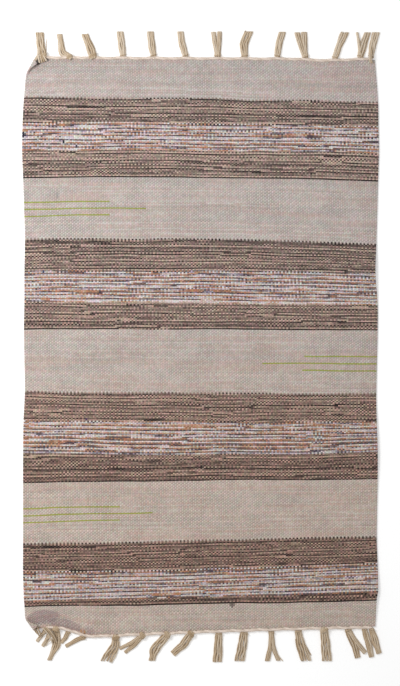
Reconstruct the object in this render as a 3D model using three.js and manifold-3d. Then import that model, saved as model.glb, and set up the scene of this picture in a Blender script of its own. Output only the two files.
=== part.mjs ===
// A flat-woven kilim rug, lying on a floor: the woven cloth with its two left corners curled over, a twined
// heading cord along each end, and the warp ends beyond each cord, knotted into tassels.
//
// Millimetres. +X is right, +Y is towards the far end and +Z is up. The origin is under the rug's middle, on
// the floor.

import * as THREE from "three";
import Module from "manifold-3d";

const wasm = await Module();
wasm.setup();

// The cloth

const THICKNESS = 4;

// The lines of the weave where one stripe ends and the next begins, from the far end to the near end. The rug
// is pulled a little out of square, so a line has its own height at the left edge, in the middle and at the
// right edge, and the side edges swing in and out.
const WEAVE_LINES = [
  { starts: "pale field 1", leftX: -393, rightX: 392, leftY: 650, midY: 648, rightY: 646 },
  { starts: "dark stripe 1", leftX: -401, rightX: 399, leftY: 564, midY: 560, rightY: 552 },
  { starts: "mixed stripe 1", leftX: -404, rightX: 400, leftY: 508, midY: 505, rightY: 499 },
  { starts: "dark stripe 2", leftX: -405, rightX: 401, leftY: 446, midY: 446, rightY: 440 },
  { starts: "pale field 2", leftX: -403, rightX: 399, leftY: 381, midY: 381, rightY: 373 },
  { starts: "dark stripe 3", leftX: -399, rightX: 395, leftY: 241, midY: 240, rightY: 230 },
  { starts: "mixed stripe 2", leftX: -400, rightX: 393, leftY: 170, midY: 172, rightY: 164 },
  { starts: "dark stripe 4", leftX: -400, rightX: 398, leftY: 105, midY: 101, rightY: 97 },
  { starts: "pale field 3", leftX: -401, rightX: 398, leftY: 36, midY: 36, rightY: 33 },
  { starts: "dark stripe 5", leftX: -399, rightX: 395, leftY: -101, midY: -105, rightY: -106 },
  { starts: "mixed stripe 3", leftX: -402, rightX: 396, leftY: -168, midY: -171, rightY: -171 },
  { starts: "dark stripe 6", leftX: -403, rightX: 398, leftY: -237, midY: -242, rightY: -235 },
  { starts: "pale field 4", leftX: -403, rightX: 398, leftY: -309, midY: -303, rightY: -300 },
  { starts: "dark stripe 7", leftX: -403, rightX: 396, leftY: -448, midY: -439, rightY: -431 },
  { starts: "mixed stripe 4", leftX: -403, rightX: 398, leftY: -512, midY: -506, rightY: -492 },
  { starts: "dark stripe 8", leftX: -401, rightX: 399, leftY: -576, midY: -567, rightY: -554 },
  { starts: "pale field 5", leftX: -400, rightX: 396, leftY: -587, midY: -580, rightY: -573 },
  { starts: "near end", leftX: -396, rightX: 393, leftY: -662, midY: -643, rightY: -632 },
];

// Waves of the two end edges, where the tassels pull them: across is from 0 at the left to 1 at the right.
const END_WAVES = [
  { end: "far", across: 0.86, rise: -3, reach: 0.12 },
  { end: "near", across: 0.07, rise: 27, reach: 0.135 },
];
const END_WAVE_DEPTH = 70;

// Places where the cloth doesn't lie quite flat: soft rises that fade out at their reach.
const RISES = [
  { x: -382, y: -634, height: 7, reachX: 95, reachY: 60 },
  { x: -392, y: 640, height: 3, reachX: 70, reachY: 60 },
  { x: -405, y: 440, height: 3, reachX: 60, reachY: 90 },
  { x: -401, y: -20, height: 2, reachX: 45, reachY: 120 },
  { x: 395, y: 168, height: 4, reachX: 75, reachY: 80 },
  { x: 400, y: -230, height: 3, reachX: 60, reachY: 120 },
  { x: 398, y: -560, height: 3, reachX: 60, reachY: 90 },
  { x: 40, y: -380, height: 2, reachX: 330, reachY: 90 },
  { x: -90, y: 310, height: 2, reachX: 300, reachY: 80 },
];

// The corners that are curled up and over. x and y are on the line where the curl starts, facing is the
// direction in which the flat cloth runs into it, and turn is how far it winds, both in degrees.
const CURLS = [
  { x: -381, y: 628.5, facing: 150.5, radius: 5, turn: 190 },
  { x: -378.4, y: -628.8, facing: 216.5, radius: 5.5, turn: 185 },
];

// Steps of the faceted cloth: runs of even steps, finest where the corners curl.
const CURLED_WIDTH = 0.046;
const STEPS_ACROSS = [
  { from: 0, to: CURLED_WIDTH, steps: 9 },
  { from: CURLED_WIDTH, to: 0.2, steps: 8 },
  { from: 0.2, to: 0.88, steps: 4 },
  { from: 0.88, to: 1, steps: 3 },
];
const STEPS_ALONG = [
  { from: 0, to: 0.043, steps: 13 },
  { from: 0.043, to: 0.1, steps: 2 },
  { from: 0.1, to: 0.9, steps: 17 },
  { from: 0.9, to: 0.957, steps: 2 },
  { from: 0.957, to: 1, steps: 13 },
];

// Headings and fringes

const GAP = 0.3;
const CORD_RADIUS = 2.3;
const CORD_SIDES = 8;
const WARP_LAYER = 1.4; // the flat layer of warp ends that runs out of the weave, under the cord
const WARP_LAYER_WIDTH = 5;

// How far each heading reaches across its end. It starts where the corner is no longer curled.
const HEADINGS = {
  far: { from: CURLED_WIDTH, to: 0.993 },
  near: { from: CURLED_WIDTH, to: 0.99 },
};

// One row for each tassel, or for each half of one that parts in two: the x where its knot sits on the
// heading, the place where it bends, its tip, the width of its knot, and how wide its yarns spread at the
// bend and at the tip.
const FAR_TASSELS = [
  { x: -356, bendX: -363, bendY: 677, tipX: -366, tipY: 710, knot: 18, waist: 19, end: 19 },
  { x: -294, bendX: -314, bendY: 664, tipX: -321, tipY: 706, knot: 14, waist: 17, end: 13 },
  { x: -244, bendX: -251, bendY: 673, tipX: -264, tipY: 706, knot: 20, waist: 20, end: 17 },
  { x: -177, bendX: -180, bendY: 678, tipX: -184, tipY: 712, knot: 15, waist: 17, end: 16 },
  { x: -108, bendX: -112, bendY: 678, tipX: -116, tipY: 712, knot: 15, waist: 17, end: 16 },
  { x: -35, bendX: -43, bendY: 681, tipX: -48, tipY: 712, knot: 15, waist: 16, end: 15 },
  { x: 37, bendX: 31, bendY: 683, tipX: 27, tipY: 711, knot: 16, waist: 11, end: 11 },
  { x: 37, bendX: 40, bendY: 683, tipX: 41, tipY: 712, knot: 16, waist: 11, end: 11 },
  { x: 98, bendX: 96, bendY: 682, tipX: 107, tipY: 712, knot: 17, waist: 20, end: 20 },
  { x: 171, bendX: 175, bendY: 682, tipX: 183, tipY: 711, knot: 15, waist: 16, end: 16 },
  { x: 235, bendX: 224, bendY: 681, tipX: 216, tipY: 710, knot: 16, waist: 12, end: 13 },
  { x: 235, bendX: 234, bendY: 681, tipX: 232, tipY: 711, knot: 16, waist: 12, end: 14 },
  { x: 301, bendX: 312, bendY: 681, tipX: 324, tipY: 710, knot: 15, waist: 15, end: 19 },
  { x: 359, bendX: 366, bendY: 681, tipX: 376, tipY: 710, knot: 16, waist: 18, end: 15 },
  { x: 359, bendX: 357, bendY: 683, tipX: 352, tipY: 710, knot: 15, waist: 8, end: 6 },
  { x: 383, bendX: 387, bendY: 679, tipX: 395, tipY: 710, knot: 14, waist: 16, end: 17 },
];
const NEAR_TASSELS = [
  { x: -350, bendX: -360, bendY: -652, tipX: -372, tipY: -668, knot: 15, waist: 9, end: 8 },
  { x: -342, bendX: -348, bendY: -660, tipX: -359, tipY: -679, knot: 13, waist: 9, end: 8 },
  { x: -329, bendX: -328, bendY: -674, tipX: -344, tipY: -710, knot: 17, waist: 20, end: 11 },
  { x: -299, bendX: -308, bendY: -660, tipX: -317, tipY: -671, knot: 13, waist: 11, end: 9 },
  { x: -262, bendX: -283, bendY: -665, tipX: -307, tipY: -679, knot: 14, waist: 11, end: 9 },
  { x: -193, bendX: -195, bendY: -677, tipX: -214, tipY: -712, knot: 18, waist: 21, end: 27 },
  { x: -130, bendX: -158, bendY: -671, tipX: -185, tipY: -684, knot: 17, waist: 10, end: 8 },
  { x: -130, bendX: -151, bendY: -675, tipX: -173, tipY: -693, knot: 17, waist: 11, end: 9 },
  { x: -74, bendX: -106, bendY: -687, tipX: -112, tipY: -711, knot: 18, waist: 22, end: 16 },
  { x: -21, bendX: -41, bendY: -675, tipX: -65, tipY: -696, knot: 18, waist: 19, end: 16 },
  { x: 39, bendX: 38, bendY: -682, tipX: 36, tipY: -714, knot: 18, waist: 20, end: 22 },
  { x: 97, bendX: 92, bendY: -681, tipX: 86, tipY: -712, knot: 20, waist: 22, end: 23 },
  { x: 158, bendX: 155, bendY: -684, tipX: 149, tipY: -712, knot: 15, waist: 10, end: 12 },
  { x: 158, bendX: 164, bendY: -684, tipX: 174, tipY: -711, knot: 15, waist: 10, end: 10 },
  { x: 218, bendX: 226, bendY: -678, tipX: 237, tipY: -711, knot: 18, waist: 21, end: 24 },
  { x: 277, bendX: 281, bendY: -676, tipX: 284, tipY: -712, knot: 19, waist: 22, end: 23 },
  { x: 330, bendX: 346, bendY: -675, tipX: 354, tipY: -705, knot: 17, waist: 17, end: 14 },
  { x: 330, bendX: 352, bendY: -671, tipX: 371, tipY: -694, knot: 17, waist: 12, end: 11 },
  { x: 368, bendX: 379, bendY: -676, tipX: 385, tipY: -703, knot: 14, waist: 15, end: 13 },
  { x: 384, bendX: 393, bendY: -667, tipX: 402, tipY: -695, knot: 14, waist: 17, end: 13 },
];

// The build of a tassel along its length: a flat root of warp ends under the cord, a knot whose back stands
// just clear of the cord, and yarns that lie on the floor and thin out towards the tip.
const ROOT_START = GAP + 1.5;
const ROOT_WIDTH = 9;
const ROOT_HEIGHT = 1.1;
const KNOT_BACK = 5.8;
const KNOT_LENGTH = 11;
const KNOT_HEIGHT = 8.5;
const YARN_HEIGHT = 5.5;
const TIP_HEIGHT = 3.5;

// Colours
const CLOTH_COLOUR = "#a8978c";
const CORD_COLOUR = "#dccbb6";
const YARN_COLOUR = "#cdbb94";

// A smooth curve through values at rising stations, one number for each place.
function smoothThrough(stations, values, at) {
  const last = stations.length - 1;
  let i = 0;
  while (i < last - 1 && at > stations[i + 1]) i += 1;
  const slope = (k) => {
    const before = Math.max(k - 1, 0);
    const after = Math.min(k + 1, last);
    return (values[after] - values[before]) / (stations[after] - stations[before]);
  };
  const span = stations[i + 1] - stations[i];
  const t = THREE.MathUtils.clamp((at - stations[i]) / span, 0, 1);
  const t2 = t * t;
  const t3 = t2 * t;
  return (
    values[i] * (2 * t3 - 3 * t2 + 1) +
    values[i + 1] * (3 * t2 - 2 * t3) +
    slope(i) * span * (t3 - 2 * t2 + t) +
    slope(i + 1) * span * (t3 - t2)
  );
}

// 1 at the centre of a rise, and exactly 0 from its reach outwards.
function softHill(distance) {
  return distance < 1 ? 0.5 + 0.5 * Math.cos(Math.PI * distance) : 0;
}

const FAR_Y = WEAVE_LINES[0].midY;
const CLOTH_LENGTH = FAR_Y - WEAVE_LINES.at(-1).midY;
const LINE_DOWN = WEAVE_LINES.map((line) => FAR_Y - line.midY);

function alongLines(column, down) {
  return smoothThrough(LINE_DOWN, WEAVE_LINES.map((line) => line[column]), down);
}

// How far the waves of the ends move a place of the cloth in Y.
function endWave(across, down) {
  let move = 0;
  for (const wave of END_WAVES) {
    const fromEnd = wave.end === "far" ? down : CLOTH_LENGTH - down;
    const side = softHill(Math.abs(across - wave.across) / wave.reach);
    move += wave.rise * side * softHill(fromEnd / END_WAVE_DEPTH);
  }
  return move;
}

// A place on the cloth before it is curled, in plan. across runs from 0 to 1, and down is the distance from
// the far end, measured in the middle of the rug.
function planPlace(across, down) {
  const left = alongLines("leftY", down);
  const middle = FAR_Y - down;
  const right = alongLines("rightY", down);
  const x = THREE.MathUtils.lerp(alongLines("leftX", down), alongLines("rightX", down), across);
  const bow =
    left * (2 * across - 1) * (across - 1) +
    middle * 4 * across * (1 - across) +
    right * across * (2 * across - 1);
  return new THREE.Vector2(x, bow + endWave(across, down));
}

function riseAt(x, y) {
  let height = 0;
  for (const rise of RISES) {
    height += rise.height * softHill(Math.hypot((x - rise.x) / rise.reachX, (y - rise.y) / rise.reachY));
  }
  return height;
}

// Winds what lies past a curl's starting line round the curl, upwards and back over the cloth.
function curlOver(place, curl) {
  const facing = THREE.MathUtils.degToRad(curl.facing);
  const outX = Math.cos(facing);
  const outY = Math.sin(facing);
  const past = (place.x - curl.x) * outX + (place.y - curl.y) * outY;
  if (past <= 0) return;
  const turn = Math.min(past / curl.radius, THREE.MathUtils.degToRad(curl.turn));
  const straight = past - turn * curl.radius;
  const reach = curl.radius * Math.sin(turn) + straight * Math.cos(turn);
  place.x += outX * (reach - past);
  place.y += outY * (reach - past);
  place.z += curl.radius * (1 - Math.cos(turn)) + straight * Math.sin(turn);
}

// A place on the middle layer of the cloth as it lies.
function clothPlace(across, down) {
  const plan = planPlace(across, down);
  const place = new THREE.Vector3(plan.x, plan.y, THICKNESS / 2 + riseAt(plan.x, plan.y));
  for (const curl of CURLS) curlOver(place, curl);
  return place;
}

function clothNormal(across, down) {
  const nudge = 0.0005;
  const left = clothPlace(Math.max(across - nudge, 0), down);
  const right = clothPlace(Math.min(across + nudge, 1), down);
  const farther = clothPlace(across, Math.max(down - nudge * CLOTH_LENGTH, 0));
  const nearer = clothPlace(across, Math.min(down + nudge * CLOTH_LENGTH, CLOTH_LENGTH));
  return right.sub(left).cross(farther.sub(nearer)).normalize();
}

function evenRuns(runs) {
  const places = [runs[0].from];
  for (const run of runs) {
    for (let i = 1; i <= run.steps; i += 1) places.push(run.from + ((run.to - run.from) * i) / run.steps);
  }
  return places;
}

const ACROSS = evenRuns(STEPS_ACROSS);
const DOWN = evenRuns(STEPS_ALONG).map((share) => share * CLOTH_LENGTH);

// Closed geometry from a list of points and of triangles that index them.
function closedGeometry(points, triangles) {
  const geometry = new THREE.BufferGeometry().setFromPoints(points);
  geometry.setIndex(triangles.flat());
  return geometry;
}

// The woven cloth: an upper and a lower face half a thickness from the middle layer, and a rim round them.
function clothGeometry() {
  const upper = [];
  const lower = [];
  for (const down of DOWN) {
    for (const across of ACROSS) {
      const middle = clothPlace(across, down);
      const half = clothNormal(across, down).multiplyScalar(THICKNESS / 2);
      upper.push(middle.clone().add(half));
      lower.push(middle.clone().sub(half));
    }
  }
  const columns = ACROSS.length;
  const rows = DOWN.length;
  const under = upper.length;
  const at = (row, column) => row * columns + column;
  const triangles = [];
  const quad = (a, b, c, d) => triangles.push([a, b, c], [a, c, d]);
  for (let row = 0; row < rows - 1; row += 1) {
    for (let column = 0; column < columns - 1; column += 1) {
      const a = at(row, column);
      const b = at(row + 1, column);
      const c = at(row + 1, column + 1);
      const d = at(row, column + 1);
      quad(a, b, c, d);
      quad(under + d, under + c, under + b, under + a);
    }
  }
  const rim = [];
  for (let row = 0; row < rows - 1; row += 1) rim.push(at(row, 0));
  for (let column = 0; column < columns - 1; column += 1) rim.push(at(rows - 1, column));
  for (let row = rows - 1; row > 0; row -= 1) rim.push(at(row, columns - 1));
  for (let column = columns - 1; column > 0; column -= 1) rim.push(at(0, column));
  rim.forEach((a, i) => {
    const b = rim[(i + 1) % rim.length];
    quad(b, a, under + a, under + b);
  });
  return closedGeometry([...upper, ...lower], triangles);
}

// A solid through rings of points, one ring at each step of a path, with both ends closed. Each ring turns
// from the path's right-hand side towards up.
function loftGeometry(rings) {
  const sides = rings[0].length;
  const triangles = [];
  for (let ring = 0; ring < rings.length - 1; ring += 1) {
    for (let side = 0; side < sides; side += 1) {
      const next = (side + 1) % sides;
      const a = ring * sides + side;
      const b = (ring + 1) * sides + side;
      const c = (ring + 1) * sides + next;
      const d = ring * sides + next;
      triangles.push([a, b, c], [a, c, d]);
    }
  }
  const lastRing = (rings.length - 1) * sides;
  for (let side = 1; side < sides - 1; side += 1) {
    triangles.push([0, side, side + 1]);
    triangles.push([lastRing, lastRing + side + 1, lastRing + side]);
  }
  return closedGeometry(rings.flat(), triangles);
}

// A place beyond an end of the cloth: out is the distance from its rim, which leans a little where the cloth
// rises, and z is the level of the cloth's lower face there.
function beyondEnd(end, across, out) {
  const down = end === "far" ? 0 : CLOTH_LENGTH;
  const nudge = 0.001;
  const here = clothPlace(across, down);
  const along = clothPlace(across + nudge, down).sub(clothPlace(across - nudge, down));
  const outward = new THREE.Vector3(-along.y, along.x, 0).normalize();
  if (end === "near") outward.negate();
  const lean = Math.abs(clothNormal(across, down).dot(outward)) * (THICKNESS / 2);
  here.addScaledVector(outward, lean + out);
  here.z -= THICKNESS / 2;
  return here;
}

// The steps across at which a heading and its fringe follow the edge of the cloth.
function headingSteps(end) {
  const { from, to } = HEADINGS[end];
  const between = ACROSS.filter((across) => across > from + 0.01 && across < to - 0.01);
  return [from, ...between, to];
}

// A ring of points square to a heading in plan. Its shape is a list of distances to the right and upwards.
function ringAt(place, heading, shape) {
  const side = new THREE.Vector2(heading.y, -heading.x).normalize();
  return shape.map(
    ([right, up]) => new THREE.Vector3(place.x + side.x * right, place.y + side.y * right, place.z + up),
  );
}

// Rings of one shape, square to a path at each of its places.
function ringsAlong(path, shape) {
  return path.map((place, i) => {
    const before = path[Math.max(i - 1, 0)];
    const after = path[Math.min(i + 1, path.length - 1)];
    return ringAt(place, after.clone().sub(before), shape);
  });
}

function cordRing() {
  const ring = [];
  for (let side = 0; side < CORD_SIDES; side += 1) {
    const angle = (2 * Math.PI * side) / CORD_SIDES;
    ring.push([CORD_RADIUS * Math.cos(angle), CORD_RADIUS * Math.sin(angle)]);
  }
  return ring;
}

function headingGeometry(end) {
  const path = headingSteps(end).map((across) => {
    const place = beyondEnd(end, across, GAP + CORD_RADIUS);
    place.z += WARP_LAYER + GAP + CORD_RADIUS;
    return place;
  });
  return loftGeometry(ringsAlong(path, cordRing()));
}

function slabRing(width, height) {
  return [
    [width / 2, 0],
    [width / 2, height],
    [-width / 2, height],
    [-width / 2, 0],
  ];
}

// A bundle of yarns in section: flat where it lies, rounded above.
function bundleRing(width, height) {
  const half = width / 2;
  return [
    [half * 0.8, 0],
    [half, height * 0.35],
    [half * 0.72, height * 0.85],
    [0, height],
    [-half * 0.72, height * 0.85],
    [-half, height * 0.35],
    [-half * 0.8, 0],
  ];
}

// The step across where an end of the cloth has a given x.
function acrossAt(end, x) {
  const down = end === "far" ? 0 : CLOTH_LENGTH;
  const left = alongLines("leftX", down);
  const right = alongLines("rightX", down);
  return (x - left) / (right - left);
}

function tasselGeometry(end, tassel) {
  const across = acrossAt(end, tassel.x);
  const root = beyondEnd(end, across, ROOT_START);
  const underCord = beyondEnd(end, across, KNOT_BACK - GAP);
  const back = beyondEnd(end, across, KNOT_BACK);
  const bend = new THREE.Vector3(tassel.bendX, tassel.bendY, 0);
  const tip = new THREE.Vector3(tassel.tipX, tassel.tipY, 0);
  const outward = back.clone().sub(root).normalize();
  const leaving = bend.clone().sub(back).normalize();
  const landing = tip.clone().sub(bend).normalize();
  const knotPlace = back.clone().addScaledVector(leaving, KNOT_LENGTH * 0.45);
  const neckPlace = back.clone().addScaledVector(leaving, KNOT_LENGTH);
  const loosePlace = bend.clone().lerp(tip, 0.6);
  const neckHeading = outward.clone().add(leaving);
  const bendHeading = leaving.clone().add(landing);
  const { knot, waist, end: endWidth } = tassel;
  const neck = Math.min(waist, knot) * 0.8;
  const rings = [
    { place: root, heading: outward, width: ROOT_WIDTH, height: ROOT_HEIGHT },
    { place: underCord, heading: outward, width: ROOT_WIDTH, height: ROOT_HEIGHT },
    { place: back, heading: outward, width: knot * 0.7, height: KNOT_HEIGHT * 0.6 },
    { place: knotPlace, heading: outward, width: knot, height: KNOT_HEIGHT },
    { place: neckPlace, heading: neckHeading, width: neck, height: YARN_HEIGHT },
    { place: bend, heading: bendHeading, width: waist, height: YARN_HEIGHT },
    { place: loosePlace, heading: landing, width: endWidth, height: YARN_HEIGHT },
    { place: tip, heading: landing, width: endWidth * 0.8, height: TIP_HEIGHT },
  ];
  return loftGeometry(
    rings.map(({ place, heading, width, height }) => ringAt(place, heading, bundleRing(width, height))),
  );
}

function solidFrom(geometry) {
  return new wasm.Manifold(
    new wasm.Mesh({
      numProp: 3,
      vertProperties: geometry.getAttribute("position").array,
      triVerts: new Uint32Array(geometry.index.array),
    }),
  );
}

function geometryFrom(solid) {
  const mesh = solid.getMesh();
  const geometry = new THREE.BufferGeometry();
  geometry.setAttribute("position", new THREE.BufferAttribute(mesh.vertProperties, 3));
  geometry.setIndex(new THREE.BufferAttribute(mesh.triVerts, 1));
  return geometry;
}

// A fringe is one comb: the layer of warp ends under the heading is its spine, and the tassels are its teeth.
function fringeGeometry(end, tassels) {
  const spinePath = headingSteps(end).map((across) => beyondEnd(end, across, GAP + WARP_LAYER_WIDTH / 2));
  const spine = loftGeometry(ringsAlong(spinePath, slabRing(WARP_LAYER_WIDTH, WARP_LAYER)));
  let comb = solidFrom(spine);
  for (const tassel of tassels) comb = comb.add(solidFrom(tasselGeometry(end, tassel)));
  return geometryFrom(comb);
}

function piece(name, geometry, colour, roughness) {
  const material = new THREE.MeshStandardMaterial({ color: colour, roughness, metalness: 0 });
  const mesh = new THREE.Mesh(geometry, material);
  mesh.name = name;
  return mesh;
}

const rug = new THREE.Group();
rug.add(
  piece("rug_body", clothGeometry(), CLOTH_COLOUR, 0.95),
  piece("heading_far", headingGeometry("far"), CORD_COLOUR, 0.9),
  piece("heading_near", headingGeometry("near"), CORD_COLOUR, 0.9),
  piece("fringe_far", fringeGeometry("far", FAR_TASSELS), YARN_COLOUR, 0.9),
  piece("fringe_near", fringeGeometry("near", NEAR_TASSELS), YARN_COLOUR, 0.9),
);

export default rug;
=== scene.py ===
import math
from collections import namedtuple
from functools import reduce

import bpy
import numpy as np
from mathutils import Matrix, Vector


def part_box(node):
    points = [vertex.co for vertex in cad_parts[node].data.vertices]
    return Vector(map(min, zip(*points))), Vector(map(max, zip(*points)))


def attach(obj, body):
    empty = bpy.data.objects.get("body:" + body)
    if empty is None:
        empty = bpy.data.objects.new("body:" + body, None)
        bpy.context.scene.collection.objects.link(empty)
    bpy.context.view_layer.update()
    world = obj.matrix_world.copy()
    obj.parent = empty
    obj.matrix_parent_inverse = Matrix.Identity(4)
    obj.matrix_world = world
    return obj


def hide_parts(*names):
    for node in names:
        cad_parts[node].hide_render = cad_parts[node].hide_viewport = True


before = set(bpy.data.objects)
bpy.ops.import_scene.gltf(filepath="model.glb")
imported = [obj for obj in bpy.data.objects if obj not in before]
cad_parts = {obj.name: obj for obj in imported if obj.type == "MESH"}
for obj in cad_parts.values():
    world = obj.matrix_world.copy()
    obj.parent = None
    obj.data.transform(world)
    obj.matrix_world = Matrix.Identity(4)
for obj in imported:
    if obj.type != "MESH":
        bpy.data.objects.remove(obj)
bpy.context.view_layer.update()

# A flat-woven kilim rug that lies on a floor: the woven cloth with its two left corners curled over, a twined
# heading cord along each end, and the warp ends beyond each cord, knotted into tassels.
#
# +X is right, +Y is towards the far end and +Z is up. The rug's lengths are in millimetres, and MM turns them
# into metres.

MM = 0.001
FLOOR_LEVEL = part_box("rug_body")[0].z

# The weave: how thick and how wide it is, and how many warps and picks it has. A pick is one pass of the
# weft, counted from the far end. Warps are counted from the left edge.

THICKNESS = 4
CLOTH_WIDTH = 800
WARPS = 194
PICKS = 415

# The lines of the weave where one stripe ends and the next begins, from the far end to the near end. The rug
# is pulled a little out of square, so a line has its own height at the left edge, in the middle and at the
# right edge, and the side edges swing in and out.
WeaveLine = namedtuple("WeaveLine", "starts left_x right_x left_y mid_y right_y")
WEAVE_LINES = [
    WeaveLine("pale 1", -393, 392, 650, 648, 646),
    WeaveLine("dark 1", -401, 399, 564, 560, 552),
    WeaveLine("mixed 1", -404, 400, 508, 505, 499),
    WeaveLine("dark 2", -405, 401, 446, 446, 440),
    WeaveLine("pale 2", -403, 399, 381, 381, 373),
    WeaveLine("dark 3", -399, 395, 239, 240, 229),
    WeaveLine("mixed 2", -400, 393, 170, 172, 164),
    WeaveLine("dark 4", -400, 398, 105, 101, 97),
    WeaveLine("pale 3", -401, 398, 39, 40, 37),
    WeaveLine("dark 5", -399, 395, -101, -105, -106),
    WeaveLine("mixed 3", -402, 396, -168, -171, -171),
    WeaveLine("dark 6", -403, 398, -237, -242, -235),
    WeaveLine("pale 4", -403, 398, -309, -303, -300),
    WeaveLine("dark 7", -403, 396, -448, -439, -431),
    WeaveLine("mixed 4", -403, 398, -512, -506, -492),
    WeaveLine("dark 8", -401, 399, -576, -567, -554),
    WeaveLine("pale 5", -400, 396, -584, -579, -570),
    WeaveLine("near end", -396, 393, -662, -643, -632),
]

# Waves of the two end edges, where the tassels pull them. Across is from 0 at the left to 1 at the right.
EndWave = namedtuple("EndWave", "end across rise reach")
END_WAVES = [
    EndWave("far", 0.86, -3, 0.12),
    EndWave("near", 0.07, 27, 0.135),
]
END_WAVE_DEPTH = 70

# Places where the cloth doesn't lie quite flat: soft rises that fade out at their reach.
Rise = namedtuple("Rise", "x y height reach_x reach_y")
RISES = [
    Rise(-382, -634, 7, 95, 60),
    Rise(-392, 640, 3, 70, 60),
    Rise(-405, 440, 3, 60, 90),
    Rise(-401, -20, 2, 45, 120),
    Rise(395, 168, 4, 75, 80),
    Rise(400, -230, 3, 60, 120),
    Rise(398, -560, 3, 60, 90),
    Rise(40, -380, 2, 330, 90),
    Rise(-90, 310, 2, 300, 80),
]

# The corners that are curled up and over. x and y are on the line where the curl starts, facing is the
# direction in which the flat cloth runs into it, and turn is how far it winds, both in degrees.
Curl = namedtuple("Curl", "x y facing radius turn")
CURLS = [
    Curl(-381, 628.5, 150.5, 5, 190),
    Curl(-378.4, -628.8, 216.5, 5.5, 185),
]

# Colours of the yarns, as they look on a screen, each from 0 to 255, at their places on a scale from 0 to 1.
# The mixed stripes' scale runs in a ring, so its last colour is its first.
Yarn = namedtuple("Yarn", "at colour")
PALE_YARNS = [
    Yarn(0.00, (168, 151, 143)),
    Yarn(0.28, (182, 173, 168)),
    Yarn(0.45, (196, 176, 168)),
    Yarn(0.65, (197, 189, 184)),
    Yarn(1.00, (224, 209, 203)),
]
DARK_YARNS = [
    Yarn(0.00, (48, 41, 40)),
    Yarn(0.30, (102, 88, 83)),
    Yarn(0.60, (156, 136, 126)),
    Yarn(1.00, (214, 188, 172)),
]
MIXED_YARNS = [
    Yarn(0.00, (231, 222, 221)),
    Yarn(0.20, (205, 177, 160)),
    Yarn(0.36, (184, 130, 96)),
    Yarn(0.50, (132, 106, 96)),
    Yarn(0.64, (74, 66, 78)),
    Yarn(0.80, (180, 171, 180)),
    Yarn(1.00, (231, 222, 221)),
]
LIME = (160, 164, 88)

# How the yarns of each kind of stripe follow one another. Streak Length is in warps, and Slope in rows.
PALE_WEFTS = {"Step": 0.382, "Jitter": 0.6, "Rows Differ": 0.42, "Streaks Differ": 0.6, "Strands Differ": 0.4,
              "Strands Vary": 0.0, "Evenness": 0.7, "Streak Length": 60.0, "Streak Step": 7.31,
              "Alternating": 0.0, "In A Ring": 0.0, "Slope": 6.0, "Seed": 3.7}
DARK_WEFTS = {"Step": 0.41, "Jitter": 0.22, "Rows Differ": 0.92, "Streaks Differ": 1.4, "Strands Differ": 0.3,
              "Strands Vary": 1.5, "Evenness": 0.3, "Streak Length": 9.0, "Streak Step": 0.45,
              "Alternating": 1.0, "In A Ring": 0.0, "Slope": 4.0, "Seed": 11.3}
MIXED_WEFTS = {"Step": 0.37, "Jitter": 0.2, "Rows Differ": 1.0, "Streaks Differ": 1.3, "Strands Differ": 0.05,
               "Strands Vary": 0.65, "Evenness": 0.0, "Streak Length": 12.0, "Streak Step": 0.45,
               "Alternating": 0.0, "In A Ring": 1.0, "Slope": 4.0, "Seed": 23.9}
# The shares of their red, green and blue light that the dark and the mixed stripes keep at the near end.
DARK_KEPT = (0.78, 0.71, 0.72)
MIXED_KEPT = (0.90, 0.94, 1.0)
PALE_HEATHER = 0.09  # how far the hue of single floats strays, as the wool is heathered
DARK_HEATHER = 0.16
EDGE_DARKNESS = 0.32  # how much darker, on their scale, dark wefts are in the rows beside pale cloth
WANDER = 2.6  # in rows, of which the rows stray from straight by up to half each way
FLOAT_LIGHT = (0.93, 1.07)  # the factors for the dimmest and the brightest float
PAINTED_DIVE_SHADE = (0.12, 0.3)  # the least and the most light lost to painted shade where a float dives under
STRAND_HEIGHT = 0.35  # the height of a strand, where that of a float is 1
WHITE = (1.0, 1.0, 1.0, 1.0)

# Clouds of soft noise over the cloth: how many warps long they are, and how far they change for each row.
SLOPE_CLOUD = (70.0, 0.07)
EVEN_CLOUD = (40.0, 0.2)
STRAND_CLOUD = (14.0, 0.42)

# Each kind of stripe has a level, and the dark and the mixed ones begin half-way up to theirs.
ZONE_LEVELS = {"pale": 0.0, "dark": 0.5, "mixed": 1.0}
DARK_FROM = 0.25
MIXED_FROM = 0.75

# The warp yarn's and the cord's colours, from their darkest to their lightest.
YARN_SCALE = [
    Yarn(0.0, (172, 148, 118)),
    Yarn(0.35, (194, 172, 144)),
    Yarn(0.7, (207, 189, 165)),
    Yarn(1.0, (217, 202, 183)),
]
CORD_SCALE = [
    Yarn(0.0, (214, 197, 182)),
    Yarn(1.0, (229, 213, 200)),
]

# How each kind of yarn is finished: its fibres' scale, contrast and share of the height, and how deep and
# how strong its bumps are.
Surface = namedtuple("Surface", "fibre_scale contrast fibre_height relief strength")
CLOTH_SURFACE = Surface(6.0, 0.10, 0.25, 0.9, 0.8)
CORD_SURFACE = Surface(1.6, 0.12, 0.4, 0.5, 0.35)
YARN_SURFACE = Surface(1.6, 0.12, 0.4, 0.5, 0.7)
WOOL_ROUGHNESS = 0.92
WOOL_SPECULAR = 0.25
FIBRE_RUN = 500.0  # how far the noise of the fibres runs along each metre of a yarn
SHADES_PER_METRE = 60.0  # how often a yarn's tone changes along it
SHADES_DIFFER = 0.9  # how much of its scale those changes can take up

# The tint of the whole cloth changes a little along it: a factor for red, green and blue at each share of
# the length.
Tint = namedtuple("Tint", "share red green blue")
TINTS = [
    Tint(0.00, 1.00, 1.00, 1.00),
    Tint(0.35, 1.00, 1.00, 0.985),
    Tint(0.52, 1.00, 0.985, 0.955),
    Tint(0.68, 1.00, 0.955, 0.89),
    Tint(1.00, 1.00, 0.95, 0.875),
]

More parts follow.
